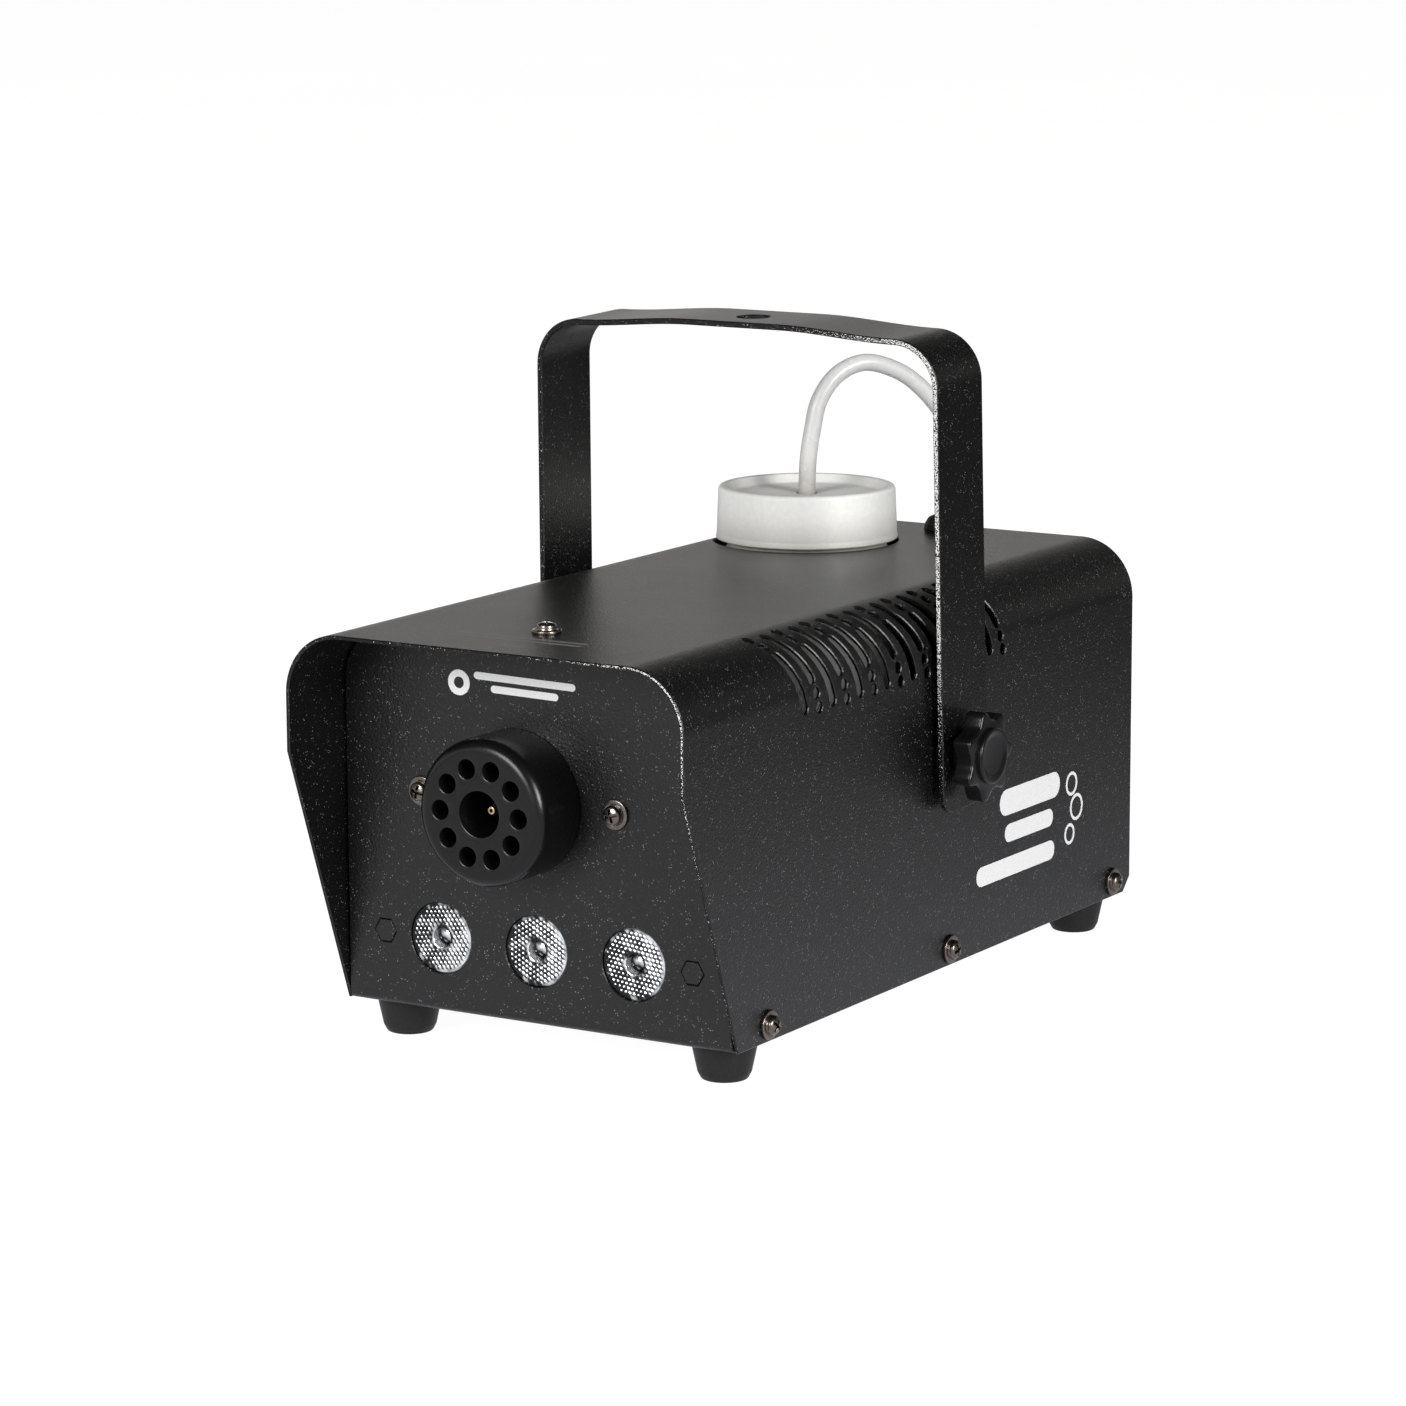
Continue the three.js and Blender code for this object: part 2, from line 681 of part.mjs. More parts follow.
placeOnBottleAxis(
  "cap_seal",
  "silicone",
  [
    [TUBE_RADIUS + SLIP, NECK.top + FIT],
    [NECK.radius, NECK.top + FIT],
    [NECK.radius, CAP.floor - 1.5 - FIT],
    [TUBE_RADIUS + SLIP, CAP.floor - 1.5 - FIT],
    [TUBE_RADIUS + SLIP, NECK.top + FIT],
  ],
  20,
);
placeOnBottleAxis(
  "bottle_cradle",
  "blackPlastic",
  [
    [0, FLOOR + SHEET + FIT],
    [BOTTLE.radius + 2.6, FLOOR + SHEET + FIT],
    [BOTTLE.radius + 2.2, FLOOR + 15],
    [BOTTLE.radius + 0.6, FLOOR + 15],
    [BOTTLE.radius + 0.6, BOTTLE_BASE - FIT],
    [0, BOTTLE_BASE - FIT],
  ],
  24,
);

const FILTER_BASE = BOTTLE_BASE + 3;
placeOnBottleAxis(
  "pickup_filter",
  "steel",
  [
    [0, FILTER_BASE],
    [4, FILTER_BASE],
    [5, FILTER_BASE + 1],
    [5, FILTER_BASE + 11],
    [3.4, FILTER_BASE + 13],
    [0, FILTER_BASE + 13],
  ],
  12,
);

// The tube rises through the cap, loops over to the grommet and drops back into the housing.
// The loop is drawn in the upright plane through both, as [way from the bottle's axis, height
// above the cover].
const LOOP = [
  [0, 14],
  [0.4, 22.4],
  [1.72, 30.8],
  [3.88, 39.1],
  [9.3, 45.9],
  [17.5, 48.9],
  [28.3, 45.8],
  [36.2, 39.8],
  [42, 32.6],
  [45.2, 25],
  [44.9, 17.3],
  [43.5, 10.8],
  [42.75, 7.8],
  [42.58, 5.4],
];

function feedTubePath() {
  const span = Math.hypot(GROMMET.x - BOTTLE.x, GROMMET.y - BOTTLE.y);
  const point = ([along, rise]) => {
    const share = along / span;
    const x = BOTTLE.x + share * (GROMMET.x - BOTTLE.x);
    const y = BOTTLE.y + share * (GROMMET.y - BOTTLE.y);
    return new THREE.Vector3(x, y, TOP + rise);
  };
  const loop = LOOP.map(point);
  const path = new THREE.CurvePath();
  path.add(new THREE.LineCurve3(point([0, FILTER_BASE + 13 + FIT - TOP]), loop[0]));
  path.add(new THREE.CatmullRomCurve3(loop, false, "centripetal"));
  path.add(new THREE.LineCurve3(loop.at(-1), point([span, TUBE_END_Z - TOP])));
  return path;
}

piece("feed_tube", "silicone", pipe(feedTubePath(), TUBE_RADIUS, 56, 8, TUBE_BORE));

piece(
  "tube_grommet",
  "rubber",
  turned(
    [
      [TUBE_RADIUS + SLIP, -2.4],
      [5, -2.4],
      [5.2, -SHEET - FIT],
      [4.3, -SHEET - FIT],
      [4.3, FIT],
      [6, FIT],
      [5.7, 1.8],
      [4.8, 3.4],
      [3.6, 4.3],
      [TUBE_RADIUS + SLIP, 4.5],
      [TUBE_RADIUS + SLIP, -2.4],
    ],
    16,
  ),
).position.set(GROMMET.x, GROMMET.y, TOP);

// ---------- LEDs ----------

const BOARD_Y = 33;
const lensProfile = [
  [0, -7],
  [3.4, -7],
  [8.2, -2.4],
  [10.4, -2.4],
  [10.4, -SHEET - FIT],
  [9, -SHEET - FIT],
  [9, -0.5],
  [2.8, -0.5],
  [2.4, -3.2],
  [0, -3.2],
];

for (const [side, name] of [
  [-1, "left"],
  [0, "middle"],
  [1, "right"],
]) {
  const lens = piece(`led_lens_${name}`, "lens", lay.front(turned(lensProfile, 18)));
  lens.position.set(side * LED_PITCH, FRONT_FACE, LED_Z);
}

for (const [side, name] of [
  [-1, "left"],
  [1, "right"],
]) {
  const head = rod(3.3, [-SHEET, 0], 6);
  const shank = rod(1.5, [-13, -SHEET + 0.1], 10);
  const stud = piece(`led_stud_${name}`, "powderCoat", lay.front(join(head, shank)));
  stud.position.set(side * STUD_X, FRONT_FACE, LED_Z);
}

function makeLedBoard() {
  const board = box([-50, 50], [BOARD_Y, BOARD_Y + 1.6], [LED_Z - 9, LED_Z + 9]);
  const emitter = (side) => rodY(3, [BOARD_Y - 1.6, BOARD_Y + 0.5], side * LED_PITCH, LED_Z, 10);
  const hole = (side) => rodY(1.8, [BOARD_Y - 1, BOARD_Y + 3], side * STUD_X, LED_Z, 10);
  return cut(join(board, emitter(-1), emitter(0), emitter(1)), hole(-1), hole(1));
}

piece("led_board", "circuitBoard", makeLedBoard());

// ---------- electronics on the floor ----------

const CARD = { x: [6, 50], y: [58, 112], z: FLOOR + 5 };

function makeControlBoard() {
  const onCard = FLOOR + 6.5;
  const post = (x, y) => rodZ(2.5, [FLOOR + SHEET + FIT, CARD.z + 0.5], x, y, 8);
  return join(
    box(CARD.x, CARD.y, [CARD.z, CARD.z + 1.6]),
    post(10, 62),
    post(46, 62),
    post(10, 108),
    post(46, 108),
    box([12, 27], [66, 85], [onCard, onCard + 15]),
    rodZ(5, [onCard, onCard + 14], 38, 72, 12),
    box([32, 44], [84, 96], [onCard, onCard + 9]),
  );
}

piece("control_board", "circuitBoard", makeControlBoard());
piece(
  "transformer",
  "steel",
  join(
    box([-48, -18], [62, 98], [FLOOR + SHEET + FIT, FLOOR + 24]),
    box([-42, -24], [57, 103], [FLOOR + 4, FLOOR + 21]),
  ),
);

const harnessStart = [28, 104, FLOOR + 11];
const thermostatTab = [NOZZLE.x, blockBack + 8 + FIT, NOZZLE.z + SENSOR_OFFSET];

function makeHarness() {
  const connector = box([20, 36], [100, 108], [FLOOR + 6.6 + FIT, FLOOR + 15]);
  const wire = (...points) => pipe(smoothPath([harnessStart, ...points]), 1.1, 12, 5);
  return join(
    connector,
    wire([26, 120, 50], [4, 134, 74], [NOZZLE.x, blockBack + 12, thermostatTab[2]], thermostatTab),
    wire([42, 122, 44], [47, 150, 66], [42, 195, 78], [SWITCH.x, REAR_FACE - 18.5, SWITCH.z]),
    wire([36, 120, 40], [38, 146, 53], [38, 190, 48], [INLET.x, REAR_FACE - 20.4, INLET.z]),
  );
}

piece("wiring_harness", "wire", makeHarness());

// ---------- rear panel fittings ----------

function makePowerInlet() {
  const { x, z } = INLET;
  const flange = box([x - 15.5, x + 15.5], [REAR_FACE + FIT, REAR_FACE + 2.4], [z - 20, z + 20]);
  const body = box([x - 13.4, x + 13.4], [REAR_FACE - 20, REAR_FACE + 1], [z - 16.6, z + 16.6]);
  const mouth = [REAR_FACE - 15, REAR_FACE + 5];
  const cavity = box([x - 12.2, x + 12.2], mouth, [z - 2.6, z + 13.9]);
  const drawerSlot = box([x - 11.2, x + 11.2], mouth, [z - 14.2, z - 5.4]);
  const pin = (dx, dz) =>
    box([x + dx - 1, x + dx + 1], [REAR_FACE - 16, REAR_FACE - 1], [z + dz - 2, z + dz + 2]);
  return join(cut(join(flange, body), cavity, drawerSlot), pin(-7, 3), pin(0, 7.6), pin(7, 3));
}

piece("power_inlet", "blackPlastic", makePowerInlet());
piece(
  "fuse_drawer",
  "blackPlastic",
  join(
    box(
      [INLET.x - 10.8, INLET.x + 10.8],
      [REAR_FACE - 14.5, REAR_FACE + 3],
      [INLET.z - 13.8, INLET.z - 5.8],
    ),
    box(
      [INLET.x - 12, INLET.x + 12],
      [REAR_FACE + 2.6, REAR_FACE + 3.6],
      [INLET.z - 15, INLET.z - 4.6],
    ),
  ),
);

function makeSwitchBody() {
  const { x, z } = SWITCH;
  const bezel = box([x - 7.5, x + 7.5], [REAR_FACE + FIT, REAR_FACE + 1.8], [z - 10.5, z + 10.5]);
  const body = box([x - 6.4, x + 6.4], [REAR_FACE - 18, REAR_FACE + 1], [z - 9.5, z + 9.5]);
  return cut(join(bezel, body), box([x - 5.5, x + 5.5], [REAR_FACE - 9, 250], [z - 8.9, z + 8.9]));
}

piece("switch_body", "blackPlastic", makeSwitchBody());

// The rocker swings about X and rests with its lower half pressed in.
const ROCKER_SWING = THREE.MathUtils.degToRad(7);
const rockerGroup = new THREE.Group();
rockerGroup.position.set(SWITCH.x, REAR_FACE - 2, SWITCH.z);
rockerGroup.rotation.x = -ROCKER_SWING;
housing.add(rockerGroup);
piece(
  "switch_rocker",
  "blackPlastic",
  bar(
    [
      [-5, -4],
      [-1, -8],
      [4.2, -8],
      [3, 0],
      [4.2, 8],
      [-1, 8],
      [-5, 4],
    ],
    [-5.2, 5.2],
  ),
  rockerGroup,
);

function makeRemoteSocket() {
  const collar = REAR_MOST - REAR_FACE;
  const body = turned(
    [
      [0, -13],
      [7.5, -13],
      [7.5, FIT],
      [10, FIT],
      [10, 2],
      [8.4, 2.4],
      [8.4, collar],
      [6.4, collar],
      [6.4, -4],
      [0, -4],
    ],
    20,
  );
  const pin = (angle) => {
    const [x, y] = [3.4 * Math.cos(angle), 3.4 * Math.sin(angle)];
    return rodZ(0.8, [-5, 2], x, y, 6);
  };
  const pins = [0, 1, 2].map((i) => pin(Math.PI * (0.5 + (2 * i) / 3)));
  return lay.rear(join(body, ...pins)).translate(SOCKET.x, REAR_FACE, SOCKET.z);
}

piece("remote_socket", "satinBlack", makeRemoteSocket());

// ---------- handle ----------

const handleGroup = new THREE.Group();
handleGroup.position.set(0, PIVOT.y, PIVOT.z);
handleGroup.rotation.x = HANDLE_TILT;
housing.add(handleGroup);

// Half of the strap's outline at a depth below its outer face, from a leg's end to the middle.
// The legs spread a little towards their ends, and the crossbar is bowed upwards.
function strapEdge(depth) {
  const spread = Math.tan(THREE.MathUtils.degToRad(0.6));
  const bow = 1.9;
  const flat = 18;
  const cornerZ = HANDLE_REACH - bow - STRAP.radius;
  const legX = (z) => HANDLE_WIDTH / 2 - depth - z * spread;
  const cornerX = legX(cornerZ) + depth - STRAP.radius;
  const radius = STRAP.radius - depth;
  const points = [new THREE.Vector2(legX(-HANDLE_TAIL - 1), -HANDLE_TAIL - 1)];
  const steps = 6;
  for (let i = 0; i <= steps; i += 1) {
    const angle = (Math.PI / 2) * (i / steps);
    const x = cornerX + radius * Math.cos(angle);
    points.push(new THREE.Vector2(x, cornerZ + radius * Math.sin(angle)));
  }
  points.push(new THREE.Vector2(flat, HANDLE_REACH - depth));
  return points;
}

function makeHandle() {
  const mirrored = (points) => points.map((p) => new THREE.Vector2(-p.x, p.y)).reverse();
  const outer = strapEdge(0);
  const inner = strapEdge(STRAP.thickness);
  const outline = [...outer, ...mirrored(outer), ...mirrored(inner).reverse(), ...inner.reverse()];
  const half = STRAP.width / 2;
  const strap = plate(new THREE.Shape(outline), [-half, half]).translate(0, STRAP.offset, 0);
  const corner = 5;
  const side = new THREE.Shape();
  side.moveTo(half, 200);
  side.lineTo(-half, 200);
  side.lineTo(-half, -HANDLE_TAIL + corner);
  side.absarc(-half + corner, -HANDLE_TAIL + corner, corner, Math.PI, 1.5 * Math.PI, false);
  side.lineTo(half - corner, -HANDLE_TAIL);
  side.absarc(half - corner, -HANDLE_TAIL + corner, corner, 1.5 * Math.PI, 2 * Math.PI, false);
  const sidePoints = side.getPoints(4).map((p) => [p.x + STRAP.offset, p.y]);
  const rounded = common(strap, bar(sidePoints, [-HANDLE_WIDTH, HANDLE_WIDTH]));
  const studHole = rodX(3.4, [-HANDLE_WIDTH, HANDLE_WIDTH], 0, 0);
  const hangingHole = rodZ(4.5, [HANDLE_REACH - 5, HANDLE_REACH + 5], 0, 0);
  return cut(rounded, studHole, hangingHole);
}

piece("handle", "powderCoat", makeHandle(), handleGroup);

// ---------- knobs and washers, laid out along +Z with 0 at the cover's side ----------

const LEG_OUTSIDE = (HANDLE_WIDTH - WIDTH) / 2;
const KNOB = {
  lobes: 7,
  radius: 10.95,
  wave: 1.35,
  turn: THREE.MathUtils.degToRad(11),
  back: LEG_OUTSIDE + 1.8,
  face: 13,
};

function starShape() {
  const points = [];
  const steps = KNOB.lobes * 6;
  for (let i = 0; i < steps; i += 1) {
    const angle = (2 * Math.PI * i) / steps;
    const radius = KNOB.radius + KNOB.wave * Math.cos(KNOB.lobes * angle);
    points.push(new THREE.Vector2(radius * Math.cos(angle), radius * Math.sin(angle)));
  }
  return new THREE.Shape(points);
}

function makeKnob() {
  const [starBack, starFace] = [KNOB.back + 0.7, KNOB.face - 1.2];
  const settings = { depth: starFace - starBack, bevelEnabled: false };
  const star = new THREE.ExtrudeGeometry(starShape(), settings).translate(0, 0, starBack);
  star.rotateZ(-KNOB.turn);
  return join(
    star,
    rod(7.5, [starFace - 1, KNOB.face], 20),
    rod(6.4, [KNOB.back, starBack + 1]),
    rod(3, [-8, KNOB.back + 1], 12),
  );
}

function ring(inner, outer, from, to) {
  const corners = [
    [inner, from],
    [outer, from],
    [outer, to],
    [inner, to],
    [inner, from],
  ];
  return turned(corners);
}

for (const side of ["left", "right"]) {
  const x = side === "left" ? -HALF_WIDTH : HALF_WIDTH;
  const place = (mesh) => mesh.position.set(x, PIVOT.y, PIVOT.z);
  const friction = ring(3.4, 9, FIT, LEG_OUTSIDE - STRAP.thickness - SLIP);
  const underKnob = ring(3.4, 6.6, LEG_OUTSIDE + SLIP, KNOB.back - FIT);
  place(piece(`friction_washer_${side}`, "rubber", lay[side](friction)));
  place(piece(`knob_washer_${side}`, "steel", lay[side](underKnob)));
  place(piece(`knob_${side}`, "blackPlastic", lay[side](makeKnob())));
}

export default machine;
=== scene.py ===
import json
from math import asin, atan, ceil, copysign, cos, hypot, pi, radians, sin, sqrt, tan
import bmesh
import bpy
import numpy as np
from mathutils import Matrix, Vector
from mathutils.geometry import delaunay_2d_cdt


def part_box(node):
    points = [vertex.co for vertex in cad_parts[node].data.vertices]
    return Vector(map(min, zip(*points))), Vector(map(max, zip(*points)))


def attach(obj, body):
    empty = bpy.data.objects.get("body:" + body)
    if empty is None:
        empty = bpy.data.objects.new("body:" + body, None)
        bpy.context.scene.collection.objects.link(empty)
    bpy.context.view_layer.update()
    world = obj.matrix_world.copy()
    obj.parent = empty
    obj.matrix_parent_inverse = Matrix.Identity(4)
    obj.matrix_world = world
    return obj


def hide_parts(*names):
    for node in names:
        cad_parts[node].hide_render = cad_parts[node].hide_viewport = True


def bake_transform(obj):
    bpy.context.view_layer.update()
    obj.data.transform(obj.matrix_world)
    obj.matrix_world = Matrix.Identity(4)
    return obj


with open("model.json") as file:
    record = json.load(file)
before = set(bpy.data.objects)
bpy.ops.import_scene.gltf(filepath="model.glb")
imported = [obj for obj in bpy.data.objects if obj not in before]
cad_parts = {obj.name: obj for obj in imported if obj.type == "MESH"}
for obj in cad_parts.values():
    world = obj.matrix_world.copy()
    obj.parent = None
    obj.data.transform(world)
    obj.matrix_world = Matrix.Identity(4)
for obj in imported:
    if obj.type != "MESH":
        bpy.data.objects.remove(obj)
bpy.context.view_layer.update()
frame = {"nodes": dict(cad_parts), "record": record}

MM = 0.001
shifted = Matrix.Translation


def box_mm(node):
    low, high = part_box(node)
    return low / MM, high / MM


def middle(node):
    low, high = box_mm(node)
    return (low + high) / 2


# ---- driving dimensions, from the frame where it holds them ----

cover_low, cover_high = box_mm("cover")
HALF_WIDTH = cover_high.x
FLOOR = cover_low.z
TOP = cover_high.z
FRONT = cover_low.y
REAR = cover_high.y
SHEET = 1.0
SLIP = 0.3
FIT = 0.1
BEND = 16.0
FLAT = HALF_WIDTH - BEND
ARC = BEND * pi / 2
SKIRT = FLAT + ARC + (TOP - BEND - FLOOR)  # half the width of the cover's flat pattern
NOZZLE_SCREW_X = 29.2
INK = 0.1  # thickness of the printed marks
TUBE_RADIUS = 2.42
TUBE_HOLE = 2.72
SIDES = ((-1, "left"), (1, "right"))

PANEL = box_mm("base_tray")[0].y
REAR_PANEL = box_mm("base_tray")[1].y
PIVOT = middle("knob_washer_right")
BOTTLE = middle("bottle")
GROMMET = middle("tube_grommet")
NOZZLE = middle("nozzle_guard")
LED_Z = middle("led_lens_middle").z
LED_PITCH = middle("led_lens_right").x
STUD_X = middle("led_stud_right").x
SIDE_SCREWS = [middle(f"side_screw_right_{place}") for place in ("front", "middle", "rear")]
TOP_SCREW_Y = middle("top_screw").y
INLET = middle("power_inlet")
SWITCH = middle("switch_body")
SOCKET = middle("remote_socket")


# ---- flat outlines ----

def circle(x, y, radius, count=48):
    angles = [2 * pi * i / count for i in range(count)]
    return [(x + radius * cos(a), y + radius * sin(a)) for a in angles]


def stadium(x, y, reach, radius, angle, count=9):
    """A slot with round ends, reach to each side of its middle, along angle."""
    loop = []
    for turn in (0, pi):
        end = (x + reach * cos(angle + turn), y + reach * sin(angle + turn))
        for i in range(count):
            a = angle + turn - pi / 2 + pi * i / (count - 1)
            loop.append((end[0] + radius * cos(a), end[1] + radius * sin(a)))
    return loop


def rectangle(x0, x1, y0, y1, radius=0.0, count=6):
    if not radius:
        return [(x0, y0), (x1, y0), (x1, y1), (x0, y1)]
    loop = []
    corners = [(x1 - radius, y0 + radius), (x1 - radius, y1 - radius)]
    corners += [(x0 + radius, y1 - radius), (x0 + radius, y0 + radius)]
    for quarter, (x, y) in enumerate(corners):
        for i in range(count + 1):
            a = pi / 2 * (quarter - 1 + i / count)
            loop.append((x + radius * cos(a), y + radius * sin(a)))
    return loop


def refine(loop, step):
    """The same closed outline with no stretch between points longer than step."""
    fine = []
    for (x0, y0), (x1, y1) in zip(loop, loop[1:] + loop[:1]):
        parts = max(1, ceil(hypot(x1 - x0, y1 - y0) / step))
        fine += [(x0 + (x1 - x0) * i / parts, y0 + (y1 - y0) * i / parts) for i in range(parts)]
    return fine


def wound(loop, anticlockwise):
    points = np.array(loop, float)
    after = np.roll(points, -1, 0)
    area = (points[:, 0] * after[:, 1] - after[:, 0] * points[:, 1]).sum()
    return points if (area > 0) == anticlockwise else points[::-1].copy()


def inset(points, distance):
    """A loop moved into the material, which lies on its left."""
    before, after = points - np.roll(points, 1, 0), np.roll(points, -1, 0) - points
    before /= np.linalg.norm(before, axis=1)[:, None]
    after /= np.linalg.norm(after, axis=1)[:, None]
    left = np.stack([-before[:, 1] - after[:, 1], before[:, 0] + after[:, 0]], 1)
    return points + distance * left / (1 + (before * after).sum(1))[:, None]


def inside(points, loops):
    """Whether each point lies in the material, by counting the loops' crossings."""
    crossings = np.zeros(len(points), int)
    x, y = points[:, :1], points[:, 1:]
    for loop in loops:
        after = np.roll(loop, -1, 0)
        straddles = (loop[:, 1] > y) != (after[:, 1] > y)
        rise = np.where(after[:, 1] == loop[:, 1], 1.0, after[:, 1] - loop[:, 1])
        at = loop[:, 0] + (y - loop[:, 1]) * (after[:, 0] - loop[:, 0]) / rise
        crossings += (straddles & (at > x)).sum(1)
    return crossings % 2 == 1


def grid(u0, u1, v0, v1, step_u, step_v):
    us = np.linspace(u0, u1, max(2, round(abs(u1 - u0) / step_u) + 1))
    vs = np.linspace(v0, v1, max(2, round(abs(v1 - v0) / step_v) + 1))
    return np.array([(u, v) for u in us for v in vs])


# ---- shapes: [points, faces, material index of each face, exact normals of skins] ----

def shape(points, faces, tones=None, normals=None):
    points = [Vector(p) for p in points]
    return [points, faces, tones or [0] * len(faces), normals or [None] * len(points)]


def joined(*shapes):
    total = shape([], [])
    for points, faces, tones, normals in shapes:
        shift = len(total[0])
        total[0] += points
        total[1] += [[i + shift for i in face] for face in faces]
        total[2] += tones
        total[3] += normals
    return total


def moved(solid, matrix):
    turn = matrix.to_3x3()
    normals = [n and turn @ n for n in solid[3]]
    return [[matrix @ p for p in solid[0]], solid[1], solid[2], normals]


def toned(solid, tone):
    return [solid[0], solid[1], [tone] * len(solid[1]), solid[3]]


def laid(direction, place=(0, 0, 0)):
    """Turns a shape made along +Z to point another way, and puts it in its place."""
    turn = {
        "up": (0, "X"),
        "front": (pi / 2, "X"),
        "rear": (-pi / 2, "X"),
        "right": (pi / 2, "Y"),
        "left": (-pi / 2, "Y"),
    }[direction]
    return shifted(place) @ Matrix.Rotation(turn[0], 4, turn[1])


SIDEWAYS = Matrix(((0, 0, 1), (1, 0, 0), (0, 1, 0))).to_4x4()  # a flat shape stood up, facing +X


def rounded(profile, closed):
    """Replaces each [radius, height, rounding] corner by a short curve."""
    line = []
    for i, corner in enumerate(profile):
        here = Vector(corner[:2])
        if len(corner) < 3 or (not closed and i in (0, len(profile) - 1)):
            line.append(here)
            continue
        before = Vector(profile[i - 1][:2]) - here
        after = Vector(profile[(i + 1) % len(profile)][:2]) - here
        reach = corner[2] / tan(before.angle(after) / 2)
        reach = min(reach, before.length / 2, after.length / 2)
        a = here + before.normalized() * reach
        b = here + after.normalized() * reach
        for t in (0, 0.25, 0.5, 0.75, 1):
            line.append(a.lerp(here, t).lerp(here.lerp(b, t), t))
    return line


def lathe(profile, sides=64):
    """A body of revolution about +Z. A profile that starts on the axis also ends on it."""
    closed = profile[0][0] > 0
    line = rounded(profile, closed)
    points, rows = [], []
    for radius, height in line:
        if radius < 1e-6:
            rows.append([len(points)] * sides)
            points.append((0, 0, height))
            continue
        rows.append(list(range(len(points), len(points) + sides)))
        for x, y in circle(0, 0, radius, sides):
            points.append((x, y, height))
    faces = []
    pairs = list(zip(rows, rows[1:])) + ([(rows[-1], rows[0])] if closed else [])
    for low, high in pairs:
        for i in range(sides):
            j = (i + 1) % sides
            corners = list(dict.fromkeys([low[i], low[j], high[j], high[i]]))
            if len(corners) > 2:
                faces.append(corners)
    return shape(points, faces)


def filled(loops, fill, least=0.0):
    """Triangles over the material between closed loops, with fill as points inside it."""
    ties, start = [], 0
    for loop in loops:
        count = len(loop)
        ties += [(start + i, start + (i + 1) % count) for i in range(count)]
        start += count
    flat = np.concatenate([*loops, fill])
    cut = delaunay_2d_cdt([Vector(p) for p in flat], ties, [], 0, 1e-5)
    spots = np.array([tuple(p) for p in cut[0]])
    triangles = np.array([tuple(f) for f in cut[2]])
    a, b, c = (spots[triangles[:, i]] for i in range(3))
    area = (b - a)[:, 0] * (c - a)[:, 1] - (b - a)[:, 1] * (c - a)[:, 0]
    kept = triangles[inside((a + b + c) / 3, loops) & (area > least)]
    found = {origin: here for here, origins in enumerate(cut[3]) for origin in origins}
    return spots, kept.tolist(), found


def sheet(outline, place, thickness, holes=(), fill=None, rim=None, hole_rim=None, exact=True):
    """A sheet or plate with holes, cut from a flat pattern and laid in space by
    place(u, v, depth). rim and hole_rim list [inset, depth] from the front skin to the back."""
    edge = min(0.25, thickness / 4)
    plain = [(edge, 0), (0, edge), (0, thickness - edge), (edge, thickness)]
    rims = [rim or plain] + [hole_rim or plain] * len(holes)
    loops = [wound(outline, True)] + [wound(hole, False) for hole in holes]
    skins = [inset(loop, profile[0][0]) for loop, profile in zip(loops, rims)]
    if fill is None:
        fill = np.empty((0, 2))
    else:
        fill = fill[inside(fill, skins)]
        gap = np.min([np.hypot(*(fill - corner).T) for corner in np.concatenate(skins)], axis=0)
        fill = fill[gap > 0.8]
    spots, triangles, found = filled(skins, fill, least=1e-4)
    count = len(spots)
    front = [place(u, v, 0) for u, v in spots]
    back = [place(u, v, thickness) for u, v in spots]
    facing = [(a - b).normalized() for a, b in zip(front, back)]
    points = front + back
    normals = facing + [-n for n in facing] if exact else [None] * (2 * count)
    faces = triangles + [[i + count for i in t[::-1]] for t in triangles]
    tones = [0] * len(faces)
    start = 0
    for number, (loop, profile) in enumerate(zip(loops, rims)):
        size = len(loop)
        rows = [[found[start + i] for i in range(size)]]
        for distance, depth in profile[1:-1]:
            rows.append(list(range(len(points), len(points) + size)))
            points += [place(u, v, depth) for u, v in inset(loop, distance)]
        rows.append([i + count for i in rows[0]])
        for step, (upper, lower) in enumerate(zip(rows, rows[1:])):
            for i in range(size):
                j = (i + 1) % size
                faces.append([upper[j], upper[i], lower[i], lower[j]])
                # tone 1: the outer rim's chamfers take the edge material with its wear and painted
                # highlight
                tones.append(1 if number == 0 and 0 < step < len(rows) - 2 else 0)
        start += size
    normals += [None] * (len(points) - len(normals))
    return drop_loose(points, faces, tones, normals)


def drop_loose(points, faces, tones, normals):
    used = sorted({i for face in faces for i in face})
    place = {old: new for new, old in enumerate(used)}
    faces = [[place[i] for i in face] for face in faces]
    return [[points[i] for i in used], faces, tones, [normals[i] for i in used]]


def plate(outline, thickness, holes=(), rim=None, hole_rim=None):
    """A flat plate with its face at z = 0 and its body below it."""
    solid = sheet(outline, lambda u, v, depth: Vector((u, v, -depth)), thickness,
                  holes, None, rim, hole_rim)
    return toned(solid, 0)


def soft_rim(size, thickness):
    """A rim with both of its edges rounded over."""
    quarter = [pi / 8 * i for i in range(5)]
    turn = [(size * (1 - sin(a)), size * (1 - cos(a))) for a in quarter]
    return turn + [(distance, thickness - depth) for distance, depth in reversed(turn)]


def pipe(line, radius, sides=20, bore=1.4):
    """A tube with a bore along a line of points."""
    points, rows = [], []
    side = Vector((1, 0, 0))
    for i, here in enumerate(line):
        way = (line[min(i + 1, len(line) - 1)] - line[max(i - 1, 0)]).normalized()
        side = (side - way * side.dot(way)).normalized()
        up = way.cross(side)
        for size in (radius, bore):
            rows.append(list(range(len(points), len(points) + sides)))
            for x, y in circle(0, 0, size, sides):
                points.append(here + side * x + up * y)
    faces = []
    outer, inner = rows[::2], rows[1::2]
    pairs = list(zip(outer, outer[1:])) + list(zip(inner[1:], inner))
    pairs += [(inner[0], outer[0]), (outer[-1], inner[-1])]
    for a, b in pairs:
        faces += [[a[i], a[(i + 1) % sides], b[(i + 1) % sides], b[i]] for i in range(sides)]
    return shape(points, faces)


